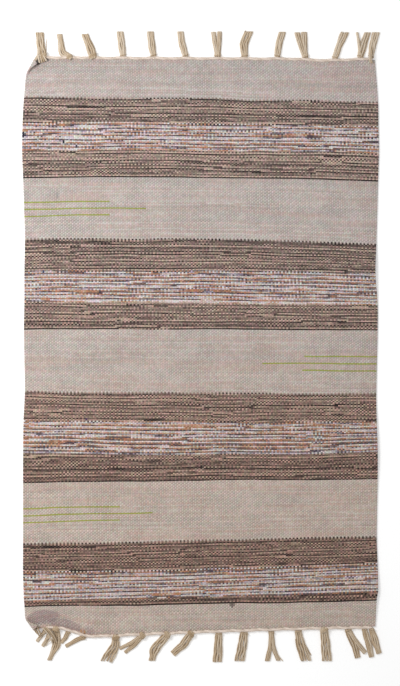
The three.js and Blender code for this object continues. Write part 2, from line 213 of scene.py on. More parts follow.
# The short lines of lime weft. Each is laid in from one side edge and turns back at a warp.
LimeLine = namedtuple("LimeLine", "y side end_x")
LIME_LINES = [
    LimeLine(327.5, "left", -210),
    LimeLine(312.0, "left", -124),
    LimeLine(298.0, "left", -210),
    LimeLine(-20.5, "right", 234),
    LimeLine(-36.0, "right", 138),
    LimeLine(-50.5, "right", 230),
    LimeLine(-356.7, "left", -182),
    LimeLine(-371.4, "left", -109),
    LimeLine(-387.7, "left", -182),
]

# Small knots and spots of stray colour, and soft dull patches: some near the near-left corner, and some
# painted shade in the crevice under the curled far-left corner.
Speck = namedtuple("Speck", "x y width height colour")
SPECKS = [
    Speck(-261, -167, 11, 8, (86, 62, 92)),
    Speck(-363, 170, 10, 8, (62, 72, 104)),
    Speck(69, -587, 9, 7, (70, 62, 58)),
    Speck(-329, 341, 8, 7, (154, 147, 144)),
    Speck(-86, -409, 7, 5, (142, 118, 110)),
    Speck(-276, -640, 10, 6, (186, 136, 100)),
    Speck(-402, 478, 10, 9, (44, 42, 56)),
    Speck(-312, 462, 9, 6, (40, 44, 50)),
    Speck(-285, 452, 8, 6, (70, 60, 76)),
]
# A patch takes away a share of the light, and its tint says how much more or less of red, green and blue.
Patch = namedtuple("Patch", "x y width height dull tint")
PURPLISH_DULL = (1.0, 1.17, 0.97)
PAINTED_SHADE = (0.98, 1.0, 1.0)
# Each is full up to the first share of its size, and gone from the second on.
PATCH_EDGE = (0.4, 0.56)
SPECK_EDGE = (0.35, 0.6)
PATCHES = [
    # Soft patches that dull the cloth to a purplish grey near the near-left corner.
    Patch(-360, -615, 76, 42, 0.27, PURPLISH_DULL),
    Patch(-314, -635, 76, 24, 0.24, PURPLISH_DULL),
    Patch(-257, -636, 30, 16, 0.14, PURPLISH_DULL),
    # Painted shade along the crevice under the curled far-left corner and the yarns that lie over it.
    Patch(-379, 636, 11, 5.5, 0.72, PAINTED_SHADE),
    Patch(-372, 639, 11, 5.5, 0.72, PAINTED_SHADE),
    Patch(-365, 642, 11, 5.5, 0.68, PAINTED_SHADE),
    Patch(-358, 645, 10, 5, 0.5, PAINTED_SHADE),
]

# How far the heading cords reach across the cloth, from 0 at its left edge to 1 at its right edge.
Heading = namedtuple("Heading", "start stop")
HEADINGS = {"far": Heading(0.046, 0.993), "near": Heading(0.046, 0.99)}

# One row for each tassel, or for each half of one that parts in two: the x where its knot sits on the
# heading, the place where it bends, its tip, the width of its knot, and how wide its yarns spread at the
# bend and at the tip.
Tassel = namedtuple("Tassel", "x bend_x bend_y tip_x tip_y knot waist end")
TASSELS = {
    "far": [
        Tassel(-356, -363, 677, -366, 710, 18, 19, 19),
        Tassel(-294, -314, 664, -321, 706, 14, 17, 13),
        Tassel(-244, -251, 673, -264, 706, 20, 20, 17),
        Tassel(-177, -180, 678, -184, 712, 15, 17, 16),
        Tassel(-108, -112, 678, -116, 712, 15, 17, 16),
        Tassel(-35, -43, 681, -48, 712, 15, 16, 15),
        Tassel(37, 31, 683, 27, 711, 16, 11, 11),
        Tassel(37, 40, 683, 41, 712, 16, 11, 11),
        Tassel(98, 96, 682, 107, 712, 17, 20, 20),
        Tassel(171, 175, 682, 183, 711, 15, 16, 16),
        Tassel(235, 224, 681, 216, 710, 16, 12, 13),
        Tassel(235, 234, 681, 232, 711, 16, 12, 14),
        Tassel(301, 312, 681, 324, 710, 15, 15, 19),
        Tassel(359, 366, 681, 376, 710, 16, 18, 15),
        Tassel(359, 357, 683, 352, 710, 15, 8, 6),
        Tassel(383, 387, 679, 395, 710, 14, 16, 17),
    ],
    "near": [
        Tassel(-350, -360, -652, -372, -668, 15, 9, 8),
        Tassel(-342, -348, -660, -359, -679, 13, 9, 8),
        Tassel(-329, -328, -674, -344, -710, 17, 20, 11),
        Tassel(-299, -308, -660, -317, -671, 13, 11, 9),
        Tassel(-262, -283, -665, -307, -679, 14, 11, 9),
        Tassel(-193, -195, -677, -214, -712, 18, 21, 27),
        Tassel(-130, -158, -671, -185, -684, 17, 10, 8),
        Tassel(-130, -151, -675, -173, -693, 17, 11, 9),
        Tassel(-74, -106, -687, -112, -711, 18, 22, 16),
        Tassel(-21, -41, -675, -65, -696, 18, 19, 16),
        Tassel(39, 38, -682, 36, -714, 18, 20, 22),
        Tassel(97, 92, -681, 86, -712, 20, 22, 23),
        Tassel(158, 155, -684, 149, -712, 15, 10, 12),
        Tassel(158, 164, -684, 174, -711, 15, 10, 10),
        Tassel(218, 226, -678, 237, -711, 18, 21, 24),
        Tassel(277, 281, -676, 284, -712, 19, 22, 23),
        Tassel(330, 346, -675, 354, -705, 17, 17, 14),
        Tassel(330, 352, -671, 371, -694, 17, 12, 11),
        Tassel(368, 379, -676, 385, -703, 14, 15, 13),
        Tassel(384, 393, -667, 402, -695, 14, 17, 13),
    ],
}

# Single yarns that have slipped out of their tassels or lie over a corner: how thick they are, and places
# along them as x, y and height.
Loose = namedtuple("Loose", "end radius places")
LOOSE_YARNS = [
    Loose("far", 0.6, [(-352, 655, 2), (-351, 675, 1.5), (-350, 695, 1.0)]),
    Loose("far", 2.1, [(-350, 645, 9), (-354, 651, 11), (-359, 661, 8), (-361, 674, 4)]),
    Loose("far", 2.1, [(-355, 643, 9), (-358, 651, 12), (-361, 662, 8), (-363, 676, 4)]),
    Loose("far", 2.1, [(-360, 641, 9), (-362, 650, 13), (-365, 662, 8), (-366, 676, 4)]),
    Loose("far", 2.1, [(-365, 640, 12), (-367, 649, 15), (-369, 662, 8), (-369, 675, 4)]),
    Loose("far", 1.6, [(-380, 643, 11), (-375, 649, 13), (-370, 659, 9), (-369, 672, 5)]),
    Loose("far", 1.6, [(-377, 641, 12), (-372, 648, 14), (-368, 659, 10), (-367, 672, 5)]),
    Loose("far", 1.7, [(386, 640, 5), (383, 648, 10), (384, 661, 8), (387, 677, 5)]),
    Loose("far", 1.7, [(382, 641, 5), (380, 649, 10), (381, 661, 8), (383, 677, 5)]),
    Loose("near", 1.2, [(169, -690, 3), (175, -701, 2), (184, -712, 1.2)]),
    Loose("near", 1.3, [(213, -662, 4), (215, -676, 3), (219, -690, 2), (226, -702, 1.5)]),
    Loose("near", 1.2, [(229, -664, 4), (238, -681, 3), (245, -694, 1.5), (248, -699, 1.2)]),
    Loose("near", 1.7, [(-353, -633, 19), (-343, -644, 18), (-335, -657, 13), (-331, -671, 6)]),
    Loose("near", 1.7, [(-349, -633, 18), (-339, -644, 18), (-331, -657, 13), (-327, -670, 6)]),
    Loose("near", 1.5, [(-357, -634, 18), (-347, -646, 17), (-340, -659, 12), (-336, -673, 6)]),
    Loose("near", 1.2, [(-334, -652, 14), (-345, -659, 9), (-356, -668, 4), (-361, -676, 1.2)]),
    Loose("near", 1.2, [(-336, -660, 11), (-345, -667, 6), (-352, -678, 1.2)]),
    Loose("near", 1.2, [(-351, -638, 18), (-360, -650, 10), (-371, -662, 3), (-374, -667, 1.2)]),
    Loose("near", 1.2, [(-321, -657, 8), (-322, -672, 4), (-327, -686, 1.2)]),
    Loose("near", 1.6, [(-376, -632, 16), (-371, -644, 12), (-366, -655, 6)]),
    Loose("near", 1.6, [(-370, -632, 16), (-366, -643, 12), (-361, -652, 6)]),
    Loose("near", 1.6, [(-382, -630, 14), (-377, -641, 9), (-371, -650, 4)]),
]

# The build of a tassel. Some are knotted over the cord, and the others come out from under it, with a yarn
# wound once round them. The yarns lie in two layers, and their places are given across and up, from -1 to 1
# and from 0 to 1.
Knot = namedtuple("Knot", "back rise turns wound slant radius")
OVER_CORD = Knot(0.5, 4.5, 2.6, 6.5, 1.6, 1.5)
UNDER_CORD = Knot(4.6, 0.5, 1.3, 2.0, 0.8, 0.9)
OVER_CORD_AT = {"far": [-356, -294, -244], "near": [-329, -193, -130, -74, -21, 277]}
KNOT_LENGTH = 11
KNOT_HEIGHT = 8.0
YARN_HEIGHT = 6.5
SLACK_HEIGHT = 5.7
TIP_HEIGHT = 4.5
YARN_RADIUS = 2.0
SLIM_YARN_RADIUS = 1.75
YARN_TIP_SHARE = 0.8  # of its radius, at a yarn's tip
YARN_STEP = 2.0
YARN_PACE = (24, 40)  # the length in which a yarn sways and lifts once
YARN_SWAY = 0.09
YARN_LIFT = 0.12
PAINTED_LIT_TONES = (0.45, 1.0)  # of the upper yarns, and of the lower one at one side, painted as lit
PAINTED_SHADED_TONES = (0.1, 0.5)  # of the other lower yarns, painted as in shade beneath and between the upper ones
SLIM_UNDER = 13  # tassels with a narrower waist have fewer and thinner yarns, like those that part in two
LEAST_REACH = 4  # how far outwards an outermost tassel's warps come from, at least
LONGEST_YARN = 125
CUT_FROM = 705  # tassels that reach this far from the middle are cut off straight
NEAR_SHADE = 0.25  # how much darker the near yarns are, on the scale of their colours
YARN_LAYERS = [
    (0.0, [-1.0, -0.5, 0.0, 0.5, 1.0]),
    (1.0, [-0.6, 0.05, 0.65]),
]
HALF_LAYERS = [
    (0.0, [-1.0, 0.0, 1.0]),
    (0.8, [-0.4, 0.45]),
]

# The yarn wound round a knot: its points for each turn, its width at its ends, where it starts and its tones.
WRAP_POINTS = 14
WRAP_END_SHARE = 0.85
WRAP_FROM = 2.2
# Its tones are low on the scale, partly for the wraps' own darker colour and partly as painted shade where
# each tassel meets the cord.
WRAP_TONES = (0.0, 0.4)

# The part of each warp yarn that is laid under the cord. It starts inside the cloth's rim, a little raised,
# and its lane keeps it apart from the others of its tassel.
LAID_RADIUS = 0.65
LAID_STEP = 8
LAID_BEND = 3
LAID_STOP = 2
LAID_FROM = -1.0
LAID_GAP = 0.1
LAID_RISE = 1.0
FIRST_LANE = 0.9
LANES_WIDTH = 3.2

# The cords, and how far the cloth's ends are pulled out at each tassel.
CORD_STEP = 0.8
CORD_TURN = 30
CORD_OUT = 2.0
CORD_HIGH = 4.8
STRAND_RADIUS = 2.8
THICK_CORD_RADIUS = 3.5
CORD_END_SHARE = 0.55  # of its thickness, at a cord's ends
CORD_TAPER = 12  # the length in which it would fill out by its whole thickness
STRIP_SLACK = 1.1
SCALLOP = 1.5
SCALLOP_REACH = 30
SCALLOP_DEPTH = 20


# The cloth's shape

def smooth_through(stations, values, at):
    """A smooth curve through values at rising stations, worked out at every place of the array at."""
    stations = np.asarray(stations, float)
    values = np.asarray(values, float)
    last = len(stations) - 1
    i = np.clip(np.searchsorted(stations, at) - 1, 0, last - 1)
    before = np.maximum(np.arange(last + 1) - 1, 0)
    after = np.minimum(np.arange(last + 1) + 1, last)
    slope = (values[after] - values[before]) / (stations[after] - stations[before])
    span = stations[i + 1] - stations[i]
    t = np.clip((at - stations[i]) / span, 0, 1)
    t2 = t * t
    t3 = t2 * t
    start = values[i] * (2 * t3 - 3 * t2 + 1) + slope[i] * span * (t3 - 2 * t2 + t)
    end = values[i + 1] * (3 * t2 - 2 * t3) + slope[i + 1] * span * (t3 - t2)
    return start + end


def unit(vectors):
    return vectors / np.linalg.norm(vectors, axis=-1, keepdims=True)


def soft_hill(distance):
    """1 at the centre of a rise, and exactly 0 from its reach outwards."""
    return np.where(distance < 1, 0.5 + 0.5 * np.cos(np.pi * np.minimum(distance, 1)), 0)


FAR_Y = WEAVE_LINES[0].mid_y
CLOTH_LENGTH = FAR_Y - WEAVE_LINES[-1].mid_y
LINE_DOWN = [FAR_Y - line.mid_y for line in WEAVE_LINES]
END_LINES = {"far": WEAVE_LINES[0], "near": WEAVE_LINES[-1]}
FAR_WIDTH = WEAVE_LINES[0].right_x - WEAVE_LINES[0].left_x


def along_lines(column, down):
    return smooth_through(LINE_DOWN, [getattr(line, column) for line in WEAVE_LINES], down)


def end_wave(across, down):
    """How far the waves of the ends move a place of the cloth in Y."""
    move = 0
    for wave in END_WAVES:
        from_end = down if wave.end == "far" else CLOTH_LENGTH - down
        side = soft_hill(np.abs(across - wave.across) / wave.reach)
        move = move + wave.rise * side * soft_hill(from_end / END_WAVE_DEPTH)
    return move + scallops("far", across, down) - scallops("near", across, CLOTH_LENGTH - down)


def scallops(end, across, from_end):
    """How far the tassels pull the very edge of the cloth outwards, most of all where each one sits."""
    pull = 0
    for x in sorted({tassel.x for tassel in TASSELS[end]}):
        away = np.abs(across - across_at(end, x)) * FAR_WIDTH
        pull = np.maximum(pull, SCALLOP * soft_hill(away / SCALLOP_REACH))
    return pull * soft_hill(from_end / SCALLOP_DEPTH)


def across_at(end, x):
    """The step across where an end of the cloth has a given x."""
    line = END_LINES[end]
    return (x - line.left_x) / (line.right_x - line.left_x)


def x_at(end, across):
    """The x of a step across an end of the cloth."""
    line = END_LINES[end]
    return line.left_x + (line.right_x - line.left_x) * across


def plan_place(across, down):
    """A place of the cloth in plan before it is curled. Across is from 0 to 1, down from the far end."""
    left = along_lines("left_y", down)
    middle = FAR_Y - down
    right = along_lines("right_y", down)
    left_x = along_lines("left_x", down)
    right_x = along_lines("right_x", down)
    bow = (left * (2 * across - 1) * (across - 1)
           + middle * 4 * across * (1 - across)
           + right * across * (2 * across - 1))
    return left_x + (right_x - left_x) * across, bow + end_wave(across, down)


def rise_at(x, y):
    height = 0
    for rise in RISES:
        distance = np.hypot((x - rise.x) / rise.reach_x, (y - rise.y) / rise.reach_y)
        height = height + rise.height * soft_hill(distance)
    return height


def curl_over(x, y, z, curl):
    """Winds what lies past a curl's starting line round the curl, upwards and back over the cloth."""
    out_x = math.cos(math.radians(curl.facing))
    out_y = math.sin(math.radians(curl.facing))
    past = np.maximum((x - curl.x) * out_x + (y - curl.y) * out_y, 0)
    turn = np.minimum(past / curl.radius, math.radians(curl.turn))
    straight = past - turn * curl.radius
    reach = curl.radius * np.sin(turn) + straight * np.cos(turn)
    rise = curl.radius * (1 - np.cos(turn)) + straight * np.sin(turn)
    return x + out_x * (reach - past), y + out_y * (reach - past), z + rise


def cloth_place(across, down):
    """Places on the middle layer of the cloth as it lies, in millimetres, one row of x, y and z for each."""
    x, y = plan_place(across, down)
    z = THICKNESS / 2 + rise_at(x, y)
    for curl in CURLS:
        x, y, z = curl_over(x, y, z, curl)
    return np.stack([x, y, z], axis=-1)


def cloth_normal(across, down):
    nudge = 0.0005
    left = cloth_place(np.maximum(across - nudge, 0), down)
    right = cloth_place(np.minimum(across + nudge, 1), down)
    farther = cloth_place(across, np.maximum(down - nudge * CLOTH_LENGTH, 0))
    nearer = cloth_place(across, np.minimum(down + nudge * CLOTH_LENGTH, CLOTH_LENGTH))
    return unit(np.cross(right - left, farther - nearer))


# Mesh making

def placed(name, data):
    """A new object in the scene."""
    thing = bpy.data.objects.new(name, data)
    bpy.context.scene.collection.objects.link(thing)
    return thing


def mesh_piece(name, points, faces):
    """A smooth-shaded mesh object from points in millimetres."""
    mesh = bpy.data.meshes.new(name)
    mesh.from_pydata((np.asarray(points) * MM).tolist(), [], faces)
    mesh.polygons.foreach_set("use_smooth", [True] * len(mesh.polygons))
    return placed(name, mesh)


def corner_values(mesh, values):
    """The values of the points, repeated for each corner of each face."""
    corner_points = np.empty(len(mesh.loops), np.int64)
    mesh.loops.foreach_get("vertex_index", corner_points)
    return np.asarray(values)[corner_points]


def add_map(mesh, name, values):
    uv_map = mesh.uv_layers.new(name=name)
    uv_map.data.foreach_set("uv", np.asarray(values, np.float32).ravel())


EDGE_STEPS = [0, 0.35, 1.0, 2.0]  # distances from a side edge, in millimetres, where the cloth rounds off
CURL_STEPS = 20
FIELD_STEPS = 29
CURLED_WIDTH = 0.052
EDGE_ROUND = 2.0
EDGE_THINNING = 0.92
TURN_BULGE = 0.7


def steps_across():
    """Where the columns of the cloth's mesh stand, and how wide it is. They are fine at the curled side and
    at both edges, which are round."""
    width = WEAVE_LINES[2].right_x - WEAVE_LINES[2].left_x
    edge = np.array(EDGE_STEPS) / width
    curled = np.linspace(edge[-1], CURLED_WIDTH, CURL_STEPS + 1)[1:]
    field = np.linspace(CURLED_WIDTH, 1 - edge[-1], FIELD_STEPS + 1)[1:]
    return np.concatenate([edge, curled, field, 1 - edge[-2::-1]]), width


def cloth_piece():
    """The woven cloth: an upper and a lower face with two rows of points for each pick, and a rim round
    them. The side edges are round, and bulge where the weft turns back round the last warp."""
    across_steps, width = steps_across()
    pick_steps = np.arange(2 * PICKS + 1) / 2
    pick, across = np.meshgrid(pick_steps, across_steps, indexing="ij")
    down = pick / PICKS * CLOTH_LENGTH
    middle = cloth_place(across, down)
    normal = cloth_normal(across, down)
    to_edge = np.minimum(across, 1 - across) * width
    inside = np.clip(to_edge / EDGE_ROUND, 0, 1)
    half = THICKNESS / 2 * np.sqrt(1 - EDGE_THINNING * (1 - inside) ** 2)
    side = np.where(across < 0.5, -1.0, 1.0)
    turning = 0.5 + 0.5 * np.cos(np.pi * pick + np.where(across < 0.5, 0, np.pi))
    middle[..., 0] += side * TURN_BULGE * turning * (1 - inside) ** 2
    upper = middle + normal * half[..., None]
    lower = middle - normal * half[..., None]
    rows, columns = pick.shape
    count = rows * columns
    at = np.arange(count).reshape(rows, columns)
    a, b, c, d = at[:-1, :-1], at[1:, :-1], at[1:, 1:], at[:-1, 1:]
    top = np.stack([a, b, c, d], axis=-1).reshape(-1, 4)
    rim = np.concatenate([at[:-1, 0], at[-1, :-1], at[:0:-1, -1], at[0, :0:-1]])
    after = np.roll(rim, -1)
    walls = np.stack([after, rim, rim + count, after + count], axis=-1)
    faces = np.concatenate([top, top[:, ::-1] + count, walls])
    points = np.concatenate([upper.reshape(-1, 3), lower.reshape(-1, 3)])
    piece = mesh_piece("rug_cloth", points, faces.tolist())
    cloth_at = np.stack([across * WARPS, pick], axis=-1).reshape(-1, 2)
    cloth_at = np.concatenate([cloth_at, cloth_at])
    add_map(piece.data, "cloth", corner_values(piece.data, cloth_at))
    add_map(piece.data, "OFBake", corner_values(piece.data, baking_places(cloth_at)))
    return piece


def baking_places(cloth_at):
    """The cloth laid out flat in a square. Both of its faces share it, because a kilim is alike on both."""
    margin = 0.004
    share = cloth_at / np.array([WARPS, PICKS])
    share[:, 1] = 1 - share[:, 1]
    return margin + (1 - 2 * margin) * share


# Node trees

def usable(sockets, name):
    """The socket with a name that is in use: some nodes have one of each data type under the same name."""
    return next(socket for socket in sockets if socket.name == name and socket.enabled)


class Nodes:
    """Adds nodes to a tree, and links or sets what feeds each of their sockets."""

    def __init__(self, tree):
        self.tree = tree

    def feed(self, socket, value):
        if isinstance(value, bpy.types.NodeSocket):
            self.tree.links.new(value, socket)
        elif value is not None:
            socket.default_value = value

    def add(self, kind, inputs=None, **settings):
        node = self.tree.nodes.new(kind)
        for name, value in settings.items():
            setattr(node, name, value)
        for socket, value in (inputs or {}).items():
            self.feed(node.inputs[socket] if isinstance(socket, int) else usable(node.inputs, socket), value)
        return node

    def math(self, operation, *values):
        node = self.add("ShaderNodeMath", operation=operation)
        for socket, value in zip(node.inputs, values):
            self.feed(socket, value)
        return node.outputs[0]

    def plus(self, *values):
        return reduce(lambda total, value: self.math("ADD", total, value), values)

    def times(self, *values):
        return reduce(lambda total, value: self.math("MULTIPLY", total, value), values)

    def minus(self, value, taken):
        return self.math("SUBTRACT", value, taken)

    def over(self, value, divisor):
        return self.math("DIVIDE", value, divisor)

    def modulo(self, value, span):
        return self.math("FLOORED_MODULO", value, span)

    def centred(self, value, amount):
        """A value from 0 to 1 made to swing about 0, by half the amount each way."""
        return self.times(self.minus(value, 0.5), amount)

    def between(self, value, low, high, to_low=0.0, to_high=1.0):
        """The value carried smoothly from low..high to to_low..to_high."""
        inputs = {"Value": value, "From Min": low, "From Max": high, "To Min": to_low, "To Max": to_high}
        return self.add("ShaderNodeMapRange", inputs, interpolation_type="SMOOTHSTEP").outputs["Result"]

    def mix(self, factor, a, b, blend="MIX"):
        node = self.add("ShaderNodeMix", data_type="RGBA", blend_type=blend)
        self.feed(node.inputs[0], factor)
        self.feed(node.inputs[6], a)
        self.feed(node.inputs[7], b)
        return node.outputs[2]

    def multiplied(self, colour, factors):
        return self.mix(1.0, colour, factors, "MULTIPLY")

    def shaded(self, colour, light):
        """The colour with its red, green and blue multiplied alike."""
        return self.multiplied(colour, self.vector(light, light, light))

    def ramp(self, value, stops, interpolation="LINEAR"):
        """The colour at a place on a scale. Each stop is a place from 0 to 1 and its colour."""
        node = self.add("ShaderNodeValToRGB", {"Fac": value})
        node.color_ramp.interpolation = interpolation
        elements = node.color_ramp.elements
        for i, (at, colour) in enumerate(stops):
            element = elements[i] if i < 2 else elements.new(at)
            element.position = at
            element.color = colour
        return node.outputs["Color"]

    def vector(self, x, y, z=0.0):
        return self.add("ShaderNodeCombineXYZ", {"X": x, "Y": y, "Z": z}).outputs[0]

    def vector_math(self, operation, *vectors):
        node = self.add("ShaderNodeVectorMath", dict(enumerate(vectors)), operation=operation)
        return node.outputs["Value" if operation == "LENGTH" else "Vector"]

    def parts(self, vector):
        return self.add("ShaderNodeSeparateXYZ", {"Vector": vector}).outputs

    def noise(self, vector, scale, detail=2.0, roughness=0.5):
        inputs = {"Vector": vector, "Scale": scale, "Detail": detail, "Roughness": roughness}
        return self.add("ShaderNodeTexNoise", inputs).outputs["Fac"]

    def chance(self, vector):
        """A random number from 0 to 1, the same wherever the vector is the same."""
        return self.add("ShaderNodeTexWhiteNoise", {"Vector": vector}).outputs["Value"]

    def group(self, tree, inputs):
        node = self.add(self.tree.bl_idname.replace("Tree", "Group"))
        node.node_tree = tree
        for socket, value in inputs.items():
            self.feed(node.inputs[socket], value)
        return node.outputs


def linear(colour):
    """A screen colour from 0 to 255 as linear light, with alpha."""
    def channel(value):
        share = value / 255
        return share / 12.92 if share <= 0.04045 else ((share + 0.055) / 1.055) ** 2.4
    return (*[channel(value) for value in colour], 1.0)


def node_tree(name, kind, inputs, outputs):
    """A new tree with named sockets. Returns its nodes, its inputs by name, and its output node."""
    tree = bpy.data.node_groups.new(name, kind)
    for label, (socket_type, value) in inputs.items():
        socket = tree.interface.new_socket(label, in_out="INPUT", socket_type=socket_type)
        if value is not None:
            socket.default_value = value
    for label, socket_type in outputs.items():
        tree.interface.new_socket(label, in_out="OUTPUT", socket_type=socket_type)
    nodes = Nodes(tree)
    given = nodes.add("NodeGroupInput").outputs
    result = nodes.add("NodeGroupOutput")
    return nodes, given, result


def shader_group(name, inputs, outputs):
    return node_tree(name, "ShaderNodeTree", inputs, outputs)


FLOAT = "NodeSocketFloat"
VECTOR = "NodeSocketVector"
COLOR = "NodeSocketColor"
INTEGER = "NodeSocketInt"
GEOMETRY = "NodeSocketGeometry"
MATERIAL = "NodeSocketMaterial"


def woven_floats_group():
    """Finds which part of the weft shows at each place. Each pick is two strands side by side. In each
    warp's column every second pick passes over, and the next column shows the others, so a row of the cloth
    shows the nearer strand of one pick and the farther strand of the next by turns: Turn is 0 or 1. Crown is
    high in the middle of a float and 0 where it dives under. Strand is high along the middle of a strand.
    The rows stray from straight by up to half of Wander each way."""
    nodes, given, result = shader_group(
        "woven floats", {"Cloth": (VECTOR, None), "Wander": (FLOAT, 0.5)},
        dict.fromkeys(["Pick", "Row", "Turn", "Warp", "Crown", "Strand"], FLOAT))
    u, v, _ = nodes.parts(given["Cloth"])
    slow = nodes.noise(nodes.vector(nodes.times(u, 0.022), nodes.times(v, 0.05)), 1.0)
    v = nodes.plus(v, nodes.centred(slow, given["Wander"]))
    warp = nodes.math("FLOOR", u)
    row = nodes.math("FLOOR", v)
    odd = nodes.modulo(warp, 2.0)
    pair = nodes.over(nodes.minus(v, odd), 2.0)
    pick = nodes.plus(nodes.times(nodes.math("ROUND", pair), 2.0), odd)
    beside = nodes.minus(nodes.minus(u, warp), 0.5)
    beyond = nodes.minus(v, pick)
    within = nodes.minus(nodes.minus(v, row), 0.5)
    crown_u = nodes.math("COSINE", nodes.times(beside, math.pi))
    crown_v = nodes.math("COSINE", nodes.times(beyond, math.pi / 2))
    nodes.feed(result.inputs["Pick"], pick)
    nodes.feed(result.inputs["Row"], row)
    nodes.feed(result.inputs["Turn"], nodes.modulo(nodes.plus(warp, row), 2.0))
    nodes.feed(result.inputs["Warp"], warp)
    nodes.feed(result.inputs["Crown"], nodes.times(crown_u, crown_v))
    nodes.feed(result.inputs["Strand"], nodes.math("COSINE", nodes.times(within, math.pi)))
    return nodes.tree


def weft_tone_group():
    """Where on its scale of colours the weft is at each place. Each row is a Step past the last one, give or
    take the Jitter, and goes to and fro along the scale or round it In A Ring. It changes along its length in
    streaks, which turn light to dark in every other row where they are Alternating. The two strands of a pick
    differ, more in some patches of the cloth, where the rows are more even, and also by an amount that varies
    slowly. Slope makes the rows run into each other in wedges, as hand-beaten picks do."""
    nodes, given, result = shader_group(
        "weft tone", dict.fromkeys(["Row", "Turn", "Warp", *PALE_WEFTS], (FLOAT, 0)), {"Tone": FLOAT})

    def cloud(row, warps, per_row, detail=1.0, roughness=0.5):
        place = nodes.vector(nodes.over(given["Warp"], warps), nodes.times(row, per_row), given["Seed"])
        return nodes.noise(place, 1.0, detail, roughness)

    slope = nodes.centred(cloud(given["Row"], *SLOPE_CLOUD), given["Slope"])
    row = nodes.plus(given["Row"], nodes.math("ROUND", slope))
    patch = nodes.between(cloud(row, *EVEN_CLOUD), 0.42, 0.6, 0.15, 1.0)
    even = nodes.minus(1.0, nodes.times(patch, given["Evenness"]))
    jitter = nodes.times(nodes.chance(nodes.vector(row, given["Seed"])), given["Jitter"])
    stepped = nodes.plus(nodes.times(row, given["Step"]), jitter)
    to_and_fro = nodes.times(nodes.math("PINGPONG", stepped, 0.5), 2.0)
    wave = nodes.between(given["In A Ring"], 0.0, 1.0, to_and_fro, nodes.modulo(stepped, 1.0))
    own = nodes.centred(wave, nodes.times(given["Rows Differ"], even))
    along = cloud(row, given["Streak Length"], given["Streak Step"], 3.0, 0.8)
    every_other = nodes.times(nodes.modulo(row, 2.0), given["Alternating"])
    sign = nodes.minus(1.0, nodes.times(every_other, 2.0))
    streak = nodes.times(nodes.centred(along, given["Streaks Differ"]), sign)
    varied = nodes.centred(cloud(row, *STRAND_CLOUD), nodes.times(given["Strands Vary"], 2.0))
    differ = nodes.plus(nodes.times(patch, given["Strands Differ"]), varied)
    strand = nodes.centred(given["Turn"], differ)
    nodes.feed(result.inputs["Tone"], nodes.plus(own, streak, nodes.plus(strand, 0.5)))
    return nodes.tree


def inlay_group():
    """1 on a short line of weft: one row, between two warps."""
    nodes, given, result = shader_group(
        "inlaid line", dict.fromkeys(["Row", "Warp", "Line Row", "From Warp", "To Warp"], (FLOAT, 0)),
        {"Mask": FLOAT})
    on_row = nodes.math("COMPARE", given["Row"], given["Line Row"], 0.5)
    started = nodes.math("GREATER_THAN", given["Warp"], nodes.minus(given["From Warp"], 0.5))
    going = nodes.math("LESS_THAN", given["Warp"], given["To Warp"])
    nodes.feed(result.inputs["Mask"], nodes.times(on_row, started, going))
    return nodes.tree


def speck_group():
    """1 inside a small spot, and 0 outside it."""
    nodes, given, result = shader_group(
        "speck", {"Place": (VECTOR, None), "Centre": (VECTOR, None), "Size": (VECTOR, (1, 1, 1)),
                  "Full To": (FLOAT, 0), "None From": (FLOAT, 1)},
        {"Mask": FLOAT})
    away = nodes.vector_math("SUBTRACT", given["Place"], given["Centre"])
    length = nodes.vector_math("LENGTH", nodes.vector_math("DIVIDE", away, given["Size"]))
    nodes.feed(result.inputs["Mask"], nodes.between(length, given["Full To"], given["None From"], 1.0, 0.0))
    return nodes.tree


def yarn_fibres_group():
    """Fibres of spun yarn: fine uneven light and dark, and a height for the bump."""
    nodes, given, result = shader_group(
        "yarn fibres", {"Colour": (COLOR, None), "Vector": (VECTOR, None), "Fibre Scale": (FLOAT, 1.0),
                        "Contrast": (FLOAT, 0.2)},
        {"Colour": COLOR, "Height": FLOAT})
    fine = nodes.noise(given["Vector"], given["Fibre Scale"], 3.0, 0.65)
    low, high = nodes.minus(1.0, given["Contrast"]), nodes.plus(1.0, given["Contrast"])
    light = nodes.between(fine, 0.3, 0.7, low, high)
    nodes.feed(result.inputs["Colour"], nodes.shaded(given["Colour"], light))
    nodes.feed(result.inputs["Height"], fine)
    return nodes.tree


FIBRES = yarn_fibres_group()


def new_material(name):
    material = bpy.data.materials.new(name)
    material.use_nodes = True
    material.node_tree.nodes.clear()
    nodes = Nodes(material.node_tree)
    shader = nodes.add("ShaderNodeBsdfPrincipled", {"Roughness": WOOL_ROUGHNESS,
                                                    "Specular IOR Level": WOOL_SPECULAR})
    nodes.add("ShaderNodeOutputMaterial", {"Surface": shader.outputs[0]})
    return material, nodes, shader


def finish_yarn(nodes, shader, colour, place, height, surface):
    """Puts fibres over the colour, and bumps from the yarn's height and its fibres, on a shader."""
    fibres = nodes.group(FIBRES, {"Colour": colour, "Vector": place, "Fibre Scale": surface.fibre_scale,
                                  "Contrast": surface.contrast})
    nodes.feed(shader.inputs["Base Color"], fibres["Colour"])
    height = nodes.plus(height, nodes.times(fibres["Height"], surface.fibre_height))
    inputs = {"Height": height, "Distance": surface.relief * MM, "Strength": surface.strength}
    nodes.feed(shader.inputs["Normal"], nodes.add("ShaderNodeBump", inputs).outputs[0])


def yarn_ramp(nodes, tone, yarns):
    """The colour of the yarn at a place on its scale from 0 to 1."""
    return nodes.ramp(tone, [(yarn.at, linear(yarn.colour)) for yarn in yarns])


def zone_ramp(nodes, row):
    """A level for the kind of stripe that a row belongs to."""
    levels = [ZONE_LEVELS[line.starts.split()[0]] for line in WEAVE_LINES[:-1]]
    starts = [down / CLOTH_LENGTH for down in LINE_DOWN[:-1]]
    stops = [(start, (level, level, level, 1)) for start, level in zip(starts, levels)]
    return nodes.ramp(nodes.over(nodes.plus(row, 0.5), float(PICKS)), stops, "CONSTANT")


